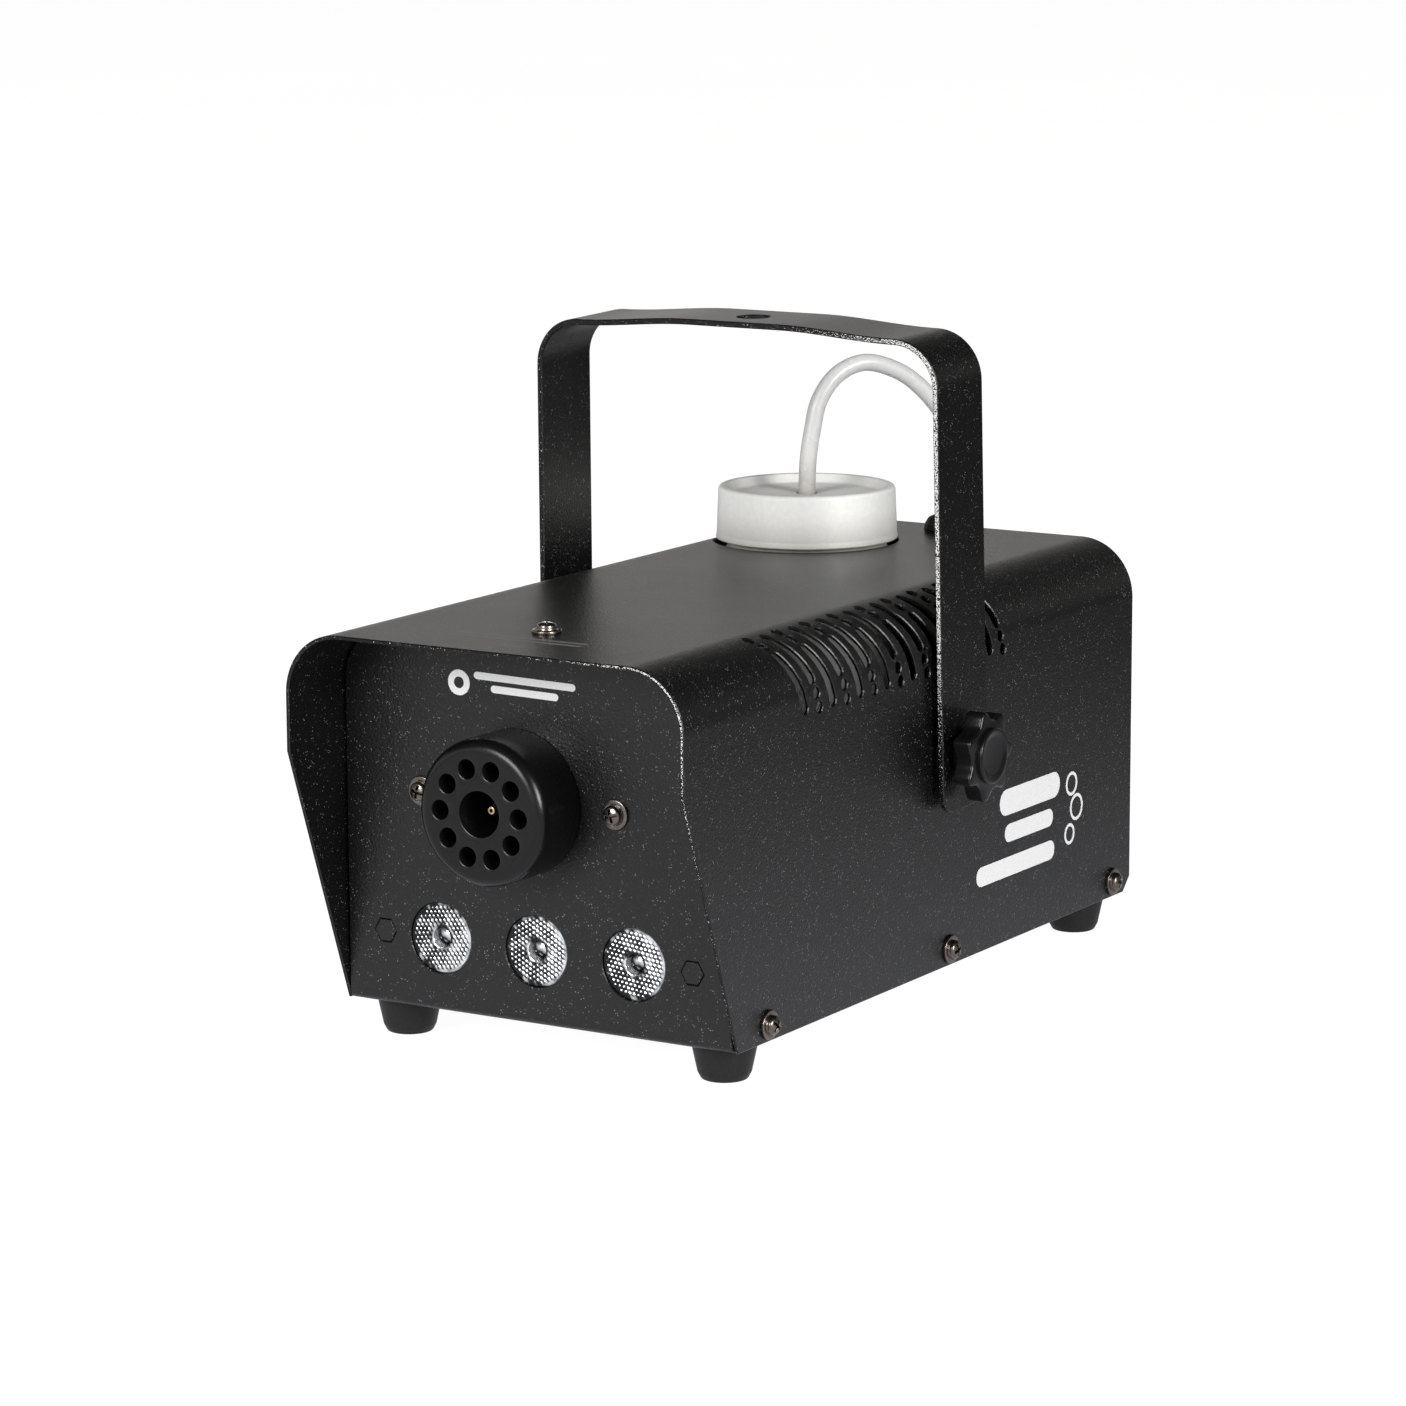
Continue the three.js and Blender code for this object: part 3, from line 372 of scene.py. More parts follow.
def mesh_of(name, solid, materials, angle=35):
    points, faces, tones, normals = solid
    mesh = bpy.data.meshes.new(name)
    mesh.from_pydata([tuple(p * MM) for p in points], [], faces)
    for material in materials:
        mesh.materials.append(material)
    mesh.polygons.foreach_set("material_index", tones)
    work = bmesh.new()
    work.from_mesh(mesh)
    bmesh.ops.recalc_face_normals(work, faces=work.faces)
    work.to_mesh(mesh)
    work.free()
    mesh.shade_smooth()
    if not any(normals):
        mesh.set_sharp_from_angle(angle=radians(angle))
        return mesh
    corners = []
    for polygon in mesh.polygons:
        own = [normals[i] for i in polygon.vertices]
        if not all(own):
            own = [polygon.normal] * len(own)
        corners += [tuple(n) for n in own]
    mesh.normals_split_custom_set(corners)
    return mesh


def piece(name, solid, materials, body="housing", nodes=None, mesh=None, matrix=None):
    """One finished object that stands for CAD nodes and rides their body."""
    data = mesh or mesh_of(name, solid, materials)
    obj = bpy.data.objects.new(name, data)
    bpy.context.scene.collection.objects.link(obj)
    if matrix:
        obj.matrix_world = Matrix.Scale(MM, 4) @ matrix @ Matrix.Scale(1 / MM, 4)
    for node in nodes or [name.removesuffix("_finish")]:
        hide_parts(node)
    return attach(obj, body) if body else obj


def copy(name, mesh, matrix, body="housing"):
    """One more placing of a mesh that several pieces share."""
    return piece(f"{name}_finish", None, None, body, mesh=mesh, matrix=matrix)


# ---- materials ----

class Graph:
    """The nodes of a material or world, fed in one kind of its coordinates."""

    def __init__(self, owner, coords="Object"):
        owner.use_nodes = True
        self.material = owner
        self.tree = owner.node_tree
        self.shader = self.tree.nodes.get("Principled BSDF")
        self.coords = self.node("TexCoord", {}, coords)

    def node(self, kind, inputs, out=0, **settings):
        made = self.tree.nodes.new("ShaderNode" + kind)
        for key, value in settings.items():
            setattr(made, key, value)
        for key, value in inputs.items():
            self.feed(made.inputs[key], value)
        return made.outputs[out]

    def feed(self, socket, value):
        if isinstance(value, bpy.types.NodeSocket):
            self.tree.links.new(value, socket)
        else:
            socket.default_value = value

    def noise(self, size, detail=2.0):
        return self.node("TexNoise", {"Vector": self.coords, "Scale": 1 / (size * MM), "Detail": detail})

    def cells(self, size, feature="F1"):
        inputs = {"Vector": self.coords, "Scale": 1 / (size * MM)}
        return self.node("TexVoronoi", inputs, feature=feature)

    def part(self, axis):
        """One coordinate, by the number of its axis."""
        return self.node("SeparateXYZ", {"Vector": self.coords}, axis)

    def spread(self, value, low, high, to_low=0.0, to_high=1.0):
        inputs = {0: value, 1: low, 2: high, 3: to_low, 4: to_high}
        return self.node("MapRange", inputs)

    def mix(self, factor, a, b):
        inputs = {0: factor, 6: a, 7: b}
        return self.node("Mix", inputs, 2, data_type="RGBA")

    def set(self, **inputs):
        for key, value in inputs.items():
            self.feed(self.shader.inputs[key.replace("_", " ")], value)

    def over(self, share, color):
        """Lays a second colour over the base colour."""
        base = self.shader.inputs["Base Color"].links[0].from_socket
        self.set(Base_Color=self.mix(share, base, color))

    def math(self, operation, a, b):
        return self.node("Math", {0: a, 1: b}, operation=operation)

    def bump(self, height, size, strength):
        inputs = {"Height": height, "Distance": size * MM, "Strength": strength}
        self.set(Normal=self.node("Bump", inputs))


def shade(color, factor):
    return tuple(min(1, c * factor) for c in color[:3]) + (1,)


def grained(name, color, roughness, metallic=0.0, grain=0.5, relief=0.2, tone=0.2, drift=0.05,
            gloss=0.5):
    """A finish with fine grain in its colour and relief and slow changes in its gloss."""
    g = Graph(bpy.data.materials.new(name))
    fine = g.noise(grain)
    slow = g.noise(22.0, 3.0)
    g.set(Base_Color=g.mix(g.spread(fine, 0.3, 0.7), shade(color, 1 - tone), shade(color, 1 + tone)))
    g.set(Roughness=g.spread(slow, 0.3, 0.7, roughness - drift, roughness + drift))
    g.set(Metallic=metallic, Specular_IOR_Level=gloss)
    g.bump(fine, grain * 0.25, relief)
    return g


def powder_coat(name, color, roughness, gloss):
    """Textured black powder coat: fine orange peel with tiny light flecks painted into the colour as
    glints.
    """
    g = grained(name, color, roughness, grain=0.6, relief=0.7, tone=0.5, drift=0.008, gloss=gloss)
    # painted glints: light flecks laid into the colour where a slow noise allows
    spot = g.spread(g.cells(0.7), 0.14, 0.26, 1.0, 0.0)
    painted_glint_patches = g.spread(g.noise(1.7, 1.0), 0.5, 0.64)
    g.over(g.math("MULTIPLY", spot, painted_glint_patches), (0.2, 0.2, 0.21, 1))
    return g.material


def edge_wear_and_painted_highlight():
    """The cut edges, where the coat is thin: bright grains that are partly wear and partly painted
    highlight, with more painted highlight to the right and high up.
    """
    color = (0.005, 0.005, 0.0052)
    g = grained("edge_wear_and_painted_highlight", color, 0.4, grain=0.3, relief=0.5, tone=0.6, gloss=0.22)
    # painted highlight: more bright grains towards +X and high up, fewer low down
    across = g.spread(g.part(0), 0.01, 0.055, 0.72, 0.48)
    low = g.spread(g.part(2), 0.055, 0.1, 0.22, 0.0)
    painted_highlight_threshold = g.math("ADD", across, low)
    g.over(g.math("GREATER_THAN", g.noise(0.32, 1.0), painted_highlight_threshold), (0.7, 0.7, 0.69, 1))
    return g.material


def milky(name, color, roughness, depth):
    """Cloudy plastic that lets some light through, with painted shade that darkens its hollows."""
    g = grained(name, color, roughness, grain=1.4, relief=0.05, tone=0.03)
    g.set(Subsurface_Weight=0.35, Subsurface_Scale=depth * MM, Subsurface_Radius=(1.0, 0.95, 0.85))
    # painted shade: ambient occlusion darkens the colour in hollows and recesses
    painted_hollow_shade = g.spread(g.node("AmbientOcclusion", {"Distance": 0.016}, "AO"), 0.38, 0.9, 1.0, 0.0)
    g.over(painted_hollow_shade, (0.3, 0.275, 0.24, 1))
    g.set(Transmission_Weight=0.05)
    return g.material


def lens_with_painted_reflection():
    """A clear moulded lens on a mirrored cup, with its reflection painted into the colour: a slope of
    its pebbled face that leans to the right or up is painted bright, one that leans away is painted
    dark, and each lens is painted brighter towards its right."""
    g = Graph(bpy.data.materials.new("lens_dimpled"))
    # painted reflection: the colour follows which way the face leans
    slope = g.node("NewGeometry", {}, "Normal")
    lean = g.node("VectorMath", {0: slope, 1: (0.75, -0.3, 0.55)}, "Value", operation="DOT_PRODUCT")
    # painted highlight: brighter towards the right side of each lens
    across = g.spread(g.part(0), -0.009, 0.009, -0.2, 0.16)
    patchy = g.spread(g.noise(3.2, 1.0), 0.3, 0.7, -0.22, 0.22)
    turned = g.math("ADD", g.math("ADD", lean, across), patchy)
    bright = g.spread(turned, 0.22, 0.6)
    g.set(Base_Color=g.mix(bright, (0.02, 0.021, 0.023, 1), (0.95, 0.97, 1, 1)))
    g.set(Metallic=0.8, Roughness=g.spread(g.noise(0.8), 0.3, 0.7, 0.06, 0.2), IOR=1.49)
    return g.material


def circuit_board():
    g = grained("circuit_board", (0.012, 0.09, 0.035), 0.45, grain=0.5, relief=0.06, tone=0.2)
    trace = g.spread(g.cells(2.4, feature="DISTANCE_TO_EDGE"), 0.06, 0.1, 1.0, 0.0)
    g.over(trace, (0.03, 0.19, 0.07, 1))
    return g.material


def plain(*args, **options):
    """A finish that is grained and nothing more."""
    return grained(*args, **options).material


COAT = powder_coat("powder_coat", (0.0024, 0.0024, 0.0026, 1), 0.34, 0.51)
STRAP_COAT = powder_coat("strap_coat", (0.0024, 0.0024, 0.0026, 1), 0.3, 0.42)
EDGE_WEAR_AND_PAINTED_HIGHLIGHT = edge_wear_and_painted_highlight()
PRINT = plain("white_print", (0.8, 0.8, 0.8), 0.55, grain=0.4, relief=0.1, tone=0.06)
FAINT = plain("faint_print", (0.16, 0.16, 0.155), 0.55, grain=0.4, relief=0.1, tone=0.06)
SATIN = plain("satin_black", (0.0035, 0.0035, 0.0038), 0.25, grain=0.6, relief=0.12, gloss=0.36)
NICKEL = plain("black_nickel", (0.20, 0.175, 0.155), 0.26, 1.0, grain=0.3, relief=0.08, tone=0.3)
MILKY = milky("milky_plastic", (0.84, 0.84, 0.82), 0.42, 2.0)
SILICONE = milky("silicone_tube", (0.66, 0.66, 0.65), 0.28, 1.2)
LENS = lens_with_painted_reflection()
PLASTIC = plain("black_plastic", (0.0045, 0.0045, 0.0048), 0.25, grain=0.7, relief=0.1, gloss=0.4)
RUBBER = plain("rubber", (0.009, 0.0088, 0.0086), 0.5, grain=0.8, relief=0.25, gloss=0.3)
STEEL = plain("steel", (0.52, 0.52, 0.53), 0.36, 1.0, grain=0.4, relief=0.1)
BRASS = plain("brass", (0.70, 0.56, 0.34), 0.32, 1.0, grain=0.3, relief=0.08)

SLOT_FINISH = {
    "housing": COAT, "guard": SATIN, "fixings": NICKEL, "rubber": RUBBER, "steel": STEEL,
    "black_plastic": PLASTIC, "milky_plastic": MILKY, "silicone": SILICONE, "lens": LENS,
    "aluminium": plain("cast_aluminium", (0.60, 0.61, 0.62), 0.42, 0.9, grain=0.9, relief=0.3),
    "brass": BRASS,
    "copper": plain("copper", (0.62, 0.26, 0.14), 0.34, 1.0, grain=0.4, relief=0.1),
    # painted shade: the wool is coloured dark to stand for the shade inside the housing
    "insulation": plain("ceramic_wool", (0.11, 0.10, 0.09), 0.95, grain=1.2, relief=0.9, tone=0.14),
    "circuit_board": circuit_board(),
    "wire": plain("wire_sleeve", (0.28, 0.025, 0.02), 0.42, grain=0.8, relief=0.1),
}


def finish_frame():
    """The CAD nodes that stay in view get the finish of their slot."""
    for part in frame["record"]["subparts"]:
        obj = frame["nodes"][part["node"]]
        finish = SLOT_FINISH[part["material_slot"]]
        if not obj.material_slots:
            obj.data.materials.append(finish)
        for place in obj.material_slots:
            place.material = finish


# ---- cover ----

HOOD_BREAK = 31.0  # from the top down to where the sides' front edges turn back
HOOD_FOOT = 25.0
CORNER_CUT = 4.0
VENT = {"columns": 16, "first": 53.8, "pitch": 6.97, "slant": 0.38, "radius": 1.55, "middle": 16.4}
VENT_CUTS = ((-13.3, -10.2), (-9.5, -6.4), (-5.6, 12.6))


def on_cover(u, v, depth):
    """u runs across the flat pattern from the middle of the top, v from the hood's edge."""
    side = copysign(1, u)
    along = abs(u) - FLAT
    if along <= 0:
        return Vector((u, FRONT + v, TOP - depth))
    if along < ARC:
        angle = along / BEND
        x = FLAT + (BEND - depth) * sin(angle)
        return Vector((side * x, FRONT + v, TOP - BEND + (BEND - depth) * cos(angle)))
    return Vector((side * (HALF_WIDTH - depth), FRONT + v, TOP - BEND - (along - ARC)))


def side_u(z):
    return FLAT + ARC + TOP - BEND - z


def vent_loops():
    loops = []
    slant = atan(VENT["slant"])
    for column in range(VENT["columns"]):
        y = VENT["first"] + column * VENT["pitch"]
        flip = 1 if column % 2 == 0 else -1
        for cut in VENT_CUTS:
            low, high = sorted((flip * cut[0], flip * cut[1]))
            reach = max(0.02, ((high - low) / 2 - VENT["radius"]) / cos(slant))
            centre = (low + high) / 2
            u, v = FLAT + VENT["middle"] + centre, y + VENT["slant"] * centre
            for side, angle in ((1, slant), (-1, pi - slant)):
                loops.append(refine(stadium(side * u, v, reach, VENT["radius"], angle), 0.9))
    return loops


def bottle_opening():
    """The round hole in the top, whose left edge runs a little way down the bend."""
    loop = []
    for x, y in circle(BOTTLE.x - 0.4, BOTTLE.y, 26.2, 96):
        past = abs(x) - FLAT
        u = x if past <= 0 else copysign(FLAT + BEND * asin(past / BEND), x)
        loop.append((u, y - FRONT))
    return loop


def marks(loops, tone, face):
    """Flat marks of print, each an outline with its holes."""
    return [moved(toned(plate(loop, INK, holes), tone), face) for loop, *holes in loops]


def side_marks():
    """Plain bars and rings where the photograph shows printing, low at the rear of the right side."""
    loops = []
    for z, half, start, end in ((48.5, 3.6, 40, 75), (39.8, 2.5, 43, 71), (30.6, 2.7, 27, 72)):
        loops.append([stadium((start + end) / 2, z, (end - start) / 2 - half, half, 0.0)])
    for y, z, radius in ((82, 47, 3.4), (85, 40, 3.8), (81, 33, 3.0)):
        ring = circle(y, z, radius, 32)
        loops.append([ring, list(map(tuple, inset(wound(ring, True), 0.9)))])
    return marks(loops, 2, shifted((HALF_WIDTH + 0.05, 0, 0)) @ SIDEWAYS)


def top_marks():
    rows = ((-1, -9.6, 19), (1, -12.8, 17), (2, -20, 4.5))
    loops = [[stadium(x, TOP_SCREW_Y + y, reach, 0.7, 0.0)] for x, y, reach in rows]
    return marks(loops, 3, shifted((0, 0, TOP + 0.03)))


def make_cover():
    length = REAR - FRONT
    turn = side_u(TOP - HOOD_BREAK)
    outline = [
        (-turn, 0), (turn, 0), (SKIRT, HOOD_FOOT), (SKIRT, length - CORNER_CUT),
        (SKIRT - CORNER_CUT, length), (CORNER_CUT - SKIRT, length),
        (-SKIRT, length - CORNER_CUT), (-SKIRT, HOOD_FOOT),
    ]
    holes = [bottle_opening(), circle(GROMMET.x, GROMMET.y - FRONT, 4.5, 40)]
    holes.append(circle(0, TOP_SCREW_Y - FRONT, 1.8, 20))
    for side in (-1, 1):
        holes.append(circle(side * side_u(PIVOT.z), PIVOT.y - FRONT, 3.3, 28))
        for at in SIDE_SCREWS:
            holes.append(circle(side * side_u(at.z), at.y - FRONT, 1.8, 20))
    holes += vent_loops()
    fill = [grid(s * FLAT, s * (FLAT + ARC), 1.2, length - 1.2, ARC / 16, 2.6) for s in (-1, 1)]
    skin = sheet(refine(outline, 1.5), on_cover, SHEET, holes, np.concatenate(fill))
    nuts = []
    for side, way in ((1, "left"), (-1, "right")):
        hexagon = circle(0, 0, 5.5, 6)
        nut = plate(hexagon, 6, [circle(0, 0, 3.3, 28)], soft_rim(0.4, 6))
        place = (side * (HALF_WIDTH - SHEET - 6.0), PIVOT.y, PIVOT.z)
        nuts.append(moved(nut, laid(way, place)))
    solid = joined(skin, *nuts, *side_marks(), *top_marks())
    piece("cover_finish", solid, [COAT, EDGE_WEAR_AND_PAINTED_HIGHLIGHT, PRINT, FAINT])


# ---- base tray ----

FOLD = 2.0  # outside radius of the tray's folds
TRAY_HALF = HALF_WIDTH - SHEET - SLIP
TRAY_INNER = TRAY_HALF - 2.2  # where the floor ends and its upturned edge begins
TRAY_TOP = TOP - SHEET - SLIP

# The tray's flat pattern along v: panel, fold, floor, fold, panel.
UPRIGHT = TRAY_TOP - FLOOR - FOLD
FOLD_ARC = FOLD * pi / 2
FLOOR_START = UPRIGHT + FOLD_ARC
FLOOR_END = FLOOR_START + REAR_PANEL - PANEL - 2 * FOLD
TRAY_LENGTH = FLOOR_END + FOLD_ARC + UPRIGHT


def on_tray(u, v, depth):
    """v runs down the front panel, under the floor and up the rear panel."""
    inner = FOLD - depth
    if v < UPRIGHT:
        return Vector((u, PANEL + depth, TRAY_TOP - v))
    if v < FLOOR_START:
        angle = (v - UPRIGHT) / FOLD
        y = PANEL + FOLD - inner * cos(angle)
        return Vector((u, y, FLOOR + FOLD - inner * sin(angle)))
    if v < FLOOR_END:
        return Vector((u, PANEL + FOLD + v - FLOOR_START, FLOOR + depth))
    v -= FLOOR_END
    if v < FOLD_ARC:
        angle = v / FOLD
        y = REAR_PANEL - FOLD + inner * sin(angle)
        return Vector((u, y, FLOOR + FOLD - inner * cos(angle)))
    return Vector((u, REAR_PANEL - depth, FLOOR + FOLD + v - FOLD_ARC))


def tray_outline():
    radius = BEND - SHEET - SLIP
    arch = []
    for i in range(15):
        angle = pi / 2 * i / 14
        x, drop = TRAY_HALF - radius + radius * sin(angle), radius * (1 - cos(angle))
        arch.append((x, drop))
    right = arch + [(TRAY_HALF, FLOOR_START), (TRAY_INNER, FLOOR_START)]
    right += [(TRAY_INNER, FLOOR_END), (TRAY_HALF, FLOOR_END)]
    right += [(x, TRAY_LENGTH - drop) for x, drop in reversed(arch)]
    return right + [(-x, v) for x, v in reversed(right)]


def panel_marks():
    """A plain ring and two bars above the nozzle, where the photograph shows printing."""
    x, z = -22.4, 96.3
    loops = [[circle(x, z, 3.3, 40), circle(x, z, 1.5, 24)]]
    loops += [[stadium(-2.6, z + 2, 14.3, 0.95, -0.02)], [stadium(-2.6, z - 1, 9.2, 0.95, -0.02)]]
    return marks(loops, 2, laid("front", (0, PANEL - 0.05, 0)))


def flange(side):
    """One upturned edge of the floor, as its own strip with a tight fold."""
    fold = 1.4
    straight = TRAY_HALF - fold - TRAY_INNER
    bend = fold * pi / 2

    def place(u, v, depth):
        if u < straight:
            return Vector((side * (TRAY_INNER + u), v, FLOOR + depth))
        if u < straight + bend:
            angle = (u - straight) / fold
            x = TRAY_HALF - fold + (fold - depth) * sin(angle)
            return Vector((side * x, v, FLOOR + fold - (fold - depth) * cos(angle)))
        return Vector((side * (TRAY_HALF - depth), v, FLOOR + fold + u - straight - bend))

    top = straight + bend + 12 - fold
    outline = refine(rectangle(0, top, PANEL + FOLD + 0.6, REAR_PANEL - FOLD - 0.6), 0.6)
    screw_u = straight + bend + SIDE_SCREWS[0].z - FLOOR - fold
    holes = [circle(screw_u, at.y, 1.7, 20) for at in SIDE_SCREWS]
    return sheet(outline, place, SHEET, holes)


def make_tray():
    down = lambda z: TRAY_TOP - z
    up = lambda z: TRAY_LENGTH - TRAY_TOP + z
    holes = [circle(NOZZLE.x, down(NOZZLE.z), 6.5, 40)]
    holes += [circle(NOZZLE.x + s * NOZZLE_SCREW_X, down(NOZZLE.z), 1.8, 20) for s in (-1, 1)]
    holes += [circle(s * LED_PITCH, down(LED_Z), 9.3, 64) for s in (-1, 0, 1)]
    holes += [circle(s * STUD_X, down(LED_Z), 3.42, 6) for s in (-1, 1)]
    inlet, rocker = (13.7, 16.9), (6.6, 9.7)
    for at, (wide, high) in ((INLET, inlet), (SWITCH, rocker)):
        holes.append(rectangle(at.x - wide, at.x + wide, up(at.z) - high, up(at.z) + high, 0.8))
    holes.append(circle(SOCKET.x, up(SOCKET.z), 7.9, 48))
    for node in ("foot_front_left", "foot_front_right", "foot_rear_left", "foot_rear_right"):
        foot = middle(node)
        holes.append(circle(foot.x, FLOOR_START - PANEL - FOLD + foot.y, 1.8, 20))
    bends = []
    for start in (UPRIGHT, FLOOR_END):
        bends.append(grid(-TRAY_HALF, TRAY_HALF, start, start + FOLD_ARC, 2.0, 0.63))
    shell = sheet(refine(tray_outline(), 0.9), on_tray, SHEET, holes, np.concatenate(bends))
    tab = rectangle(-12, 12, PANEL + 1.2, PANEL + 16, 2.0)
    tab = plate(tab, SHEET, [circle(0, TOP_SCREW_Y, 1.7, 20)])
    tab = moved(tab, shifted((0, 0, TRAY_TOP)))
    solid = joined(shell, flange(1), flange(-1), tab, *panel_marks())
    piece("base_tray_finish", solid, [COAT, EDGE_WEAR_AND_PAINTED_HIGHLIGHT, PRINT])


# ---- handle ----

STRAP = {"wide": 24.2, "thick": 1.6, "offset": 0.8, "corner": 13.0, "end": 5.0}
REACH = 112.0
TAIL = 14.7
BOW = 1.9
HANDLE_WIDTH = 125.5
HANDLE_TILT = radians(1.25)
SPREAD = tan(radians(0.6))


def strap_line():
    """The strap's outer edge as [x, z] about the pivot, from the right leg's end to the left's."""
    corner_z = REACH - BOW - STRAP["corner"]
    corner_x = HANDLE_WIDTH / 2 - corner_z * SPREAD - STRAP["corner"]
    leg = [(HANDLE_WIDTH / 2 - z * SPREAD, z) for z in np.linspace(-TAIL, corner_z, 60)[:-1]]
    turn = []
    for i in range(25):
        angle = pi / 2 * i / 24
        turn.append((corner_x + STRAP["corner"] * cos(angle),
                     corner_z + STRAP["corner"] * sin(angle)))
    bow = []
    for i in range(1, 21):
        share = i / 20
        rise = share * share * (3 - 2 * share)
        bow.append((corner_x + (14 - corner_x) * share, REACH - BOW + BOW * rise))
    half = leg + turn + bow
    return np.array(half + [(-x, z) for x, z in reversed(half)])


def make_handle():
    line = strap_line()
    steps = np.hypot(*np.diff(line, axis=0).T)
    along = np.concatenate([[0], np.cumsum(steps)])
    way = np.gradient(line, along, axis=0)
    normal = np.stack([way[:, 1], -way[:, 0]], 1)
    normal /= np.linalg.norm(normal, axis=1)[:, None]
    tilt = shifted((0, PIVOT.y, PIVOT.z)) @ Matrix.Rotation(HANDLE_TILT, 4, "X")

    def place(u, v, depth):
        x, z = (np.interp(u, along, line[:, i]) for i in (0, 1))
        nx, nz = (np.interp(u, along, normal[:, i]) for i in (0, 1))
        return tilt @ Vector((x - nx * depth, v, z - nz * depth))

    total = along[-1]
    low, high = STRAP["offset"] - STRAP["wide"] / 2, STRAP["offset"] + STRAP["wide"] / 2
    outline = refine(rectangle(0, total, low, high, STRAP["end"], 8), 1.2)
    stud = TAIL * hypot(1, SPREAD)
    holes = [circle(stud, 0, 3.4, 32), circle(total - stud, 0, 3.4, 32)]
    holes.append(circle(total / 2, 0, 4.5, 40))
    corner_u = stud + (REACH - BOW - STRAP["corner"]) * hypot(1, SPREAD)
    arc = STRAP["corner"] * pi / 2
    fill = [grid(corner_u - 1, corner_u + arc + 1, low + 1, high - 1, 1.0, 2.4)]
    fill.append(grid(total - corner_u - arc - 1, total - corner_u + 1, low + 1, high - 1, 1.0, 2.4))
    fill.append(grid(corner_u + arc + 3, total - corner_u - arc - 3, low + 1.5, high - 1.5, 3.0, 5.0))
    solid = sheet(outline, place, STRAP["thick"], holes, np.concatenate(fill))
    piece("handle_finish", solid, [STRAP_COAT, EDGE_WEAR_AND_PAINTED_HIGHLIGHT], "handle")


# ---- screws, feet and studs ----

def screw_mesh():
    """A pan head screw with a pressed washer and a tapered cross recess, head towards +Z."""
    shank = lathe([(0, -6), (1.4, -5.4), (1.4, 0.05), (3.85, 0, 0.1), (3.85, 0.75, 0.3),
                   (2.95, 0.82, 0.1), (2.55, 0.72, 0.1), (2.45, 1.3), (0, 1.3)], 48)
    arm, half = 1.75, 0.36
    cross = [(half, half), (half, arm), (-half, arm), (-half, half), (-arm, half), (-arm, -half),
             (-half, -half), (-half, -arm), (half, -arm), (half, -half), (arm, -half), (arm, half)]
    thick = 1.45

    def domed(u, v, depth):
        return Vector((u, v, 2.72 - 0.095 * (u * u + v * v) * (1 - depth / thick) - depth))

    rim = [(0.55, 0), (0.3, 0.12), (0.12, 0.32), (0.02, 0.6), (0, thick), (0.55, thick)]
    hole = [(0.1, 0), (0.03, 0.06), (-0.02, 0.2), (-0.12, thick), (0.1, thick)]
    head = sheet(refine(circle(0, 0, 2.5, 48), 0.4), domed, thick, [refine(cross, 0.35)], None,
                 rim, hole, exact=False)
    return mesh_of("screw", joined(shank, toned(head, 0)), [NICKEL], 30)


def make_screws():
    mesh = screw_mesh()
    for side, name in SIDES[::-1]:
        for place, at in zip(("front", "middle", "rear"), SIDE_SCREWS):
            turn = Matrix.Rotation(0.5 + at.y * 0.11, 4, "Z")
            matrix = laid(name, (side * (HALF_WIDTH + FIT), at.y, at.z)) @ turn
            copy(f"side_screw_{name}_{place}", mesh, matrix)
    top = shifted((0, TOP_SCREW_Y, TOP + FIT)) @ Matrix.Rotation(0.3, 4, "Z")
    copy("top_screw", mesh, top)
    for side, name in SIDES:
        place = (NOZZLE.x + side * NOZZLE_SCREW_X, PANEL - FIT, NOZZLE.z)
        matrix = laid("front", place) @ Matrix.Rotation(0.25 * side, 4, "Z")
        copy(f"nozzle_screw_{name}", mesh, matrix)


def make_feet():
    foot = lathe([(3.4, 0, 0.3), (5.9, 0, 0.9), (6.9, 1.9, 0.8), (8.6, FLOOR - FIT, 0.3),
                  (1.8, FLOOR - FIT), (1.8, 5), (3.4, 5)], 56)
    fixing = lathe([(0, 1.6), (2.2, 1.6, 0.3), (3, 2.4, 0.3), (3, 4.9), (1.5, 4.9),
                    (1.5, FLOOR + 6), (0, FLOOR + 6)], 32)
    foot_mesh = mesh_of("foot", foot, [RUBBER])
    fixing_mesh = mesh_of("foot_screw", fixing, [STEEL])
    for row in ("front", "rear"):
        for side in ("left", "right"):
            at = middle(f"foot_{row}_{side}")
            matrix = shifted((at.x, at.y, 0))
            copy(f"foot_{row}_{side}", foot_mesh, matrix)
            copy(f"foot_screw_{row}_{side}", fixing_mesh, matrix)


def make_studs():
    """Hexagonal press-in studs that carry the light board, flush in the front panel."""
    head = plate(circle(0, 0, 3.3, 6), SHEET, [], soft_rim(0.35, SHEET))
    shank = lathe([(0, -13), (1.5, -13, 0.2), (1.5, 0.1 - SHEET), (0, 0.1 - SHEET)], 24)
    mesh = mesh_of("stud", joined(head, shank), [COAT])
    for side, name in SIDES:
        copy(f"led_stud_{name}", mesh, laid("front", (side * STUD_X, PANEL, LED_Z)))


# ---- nozzle and lenses ----

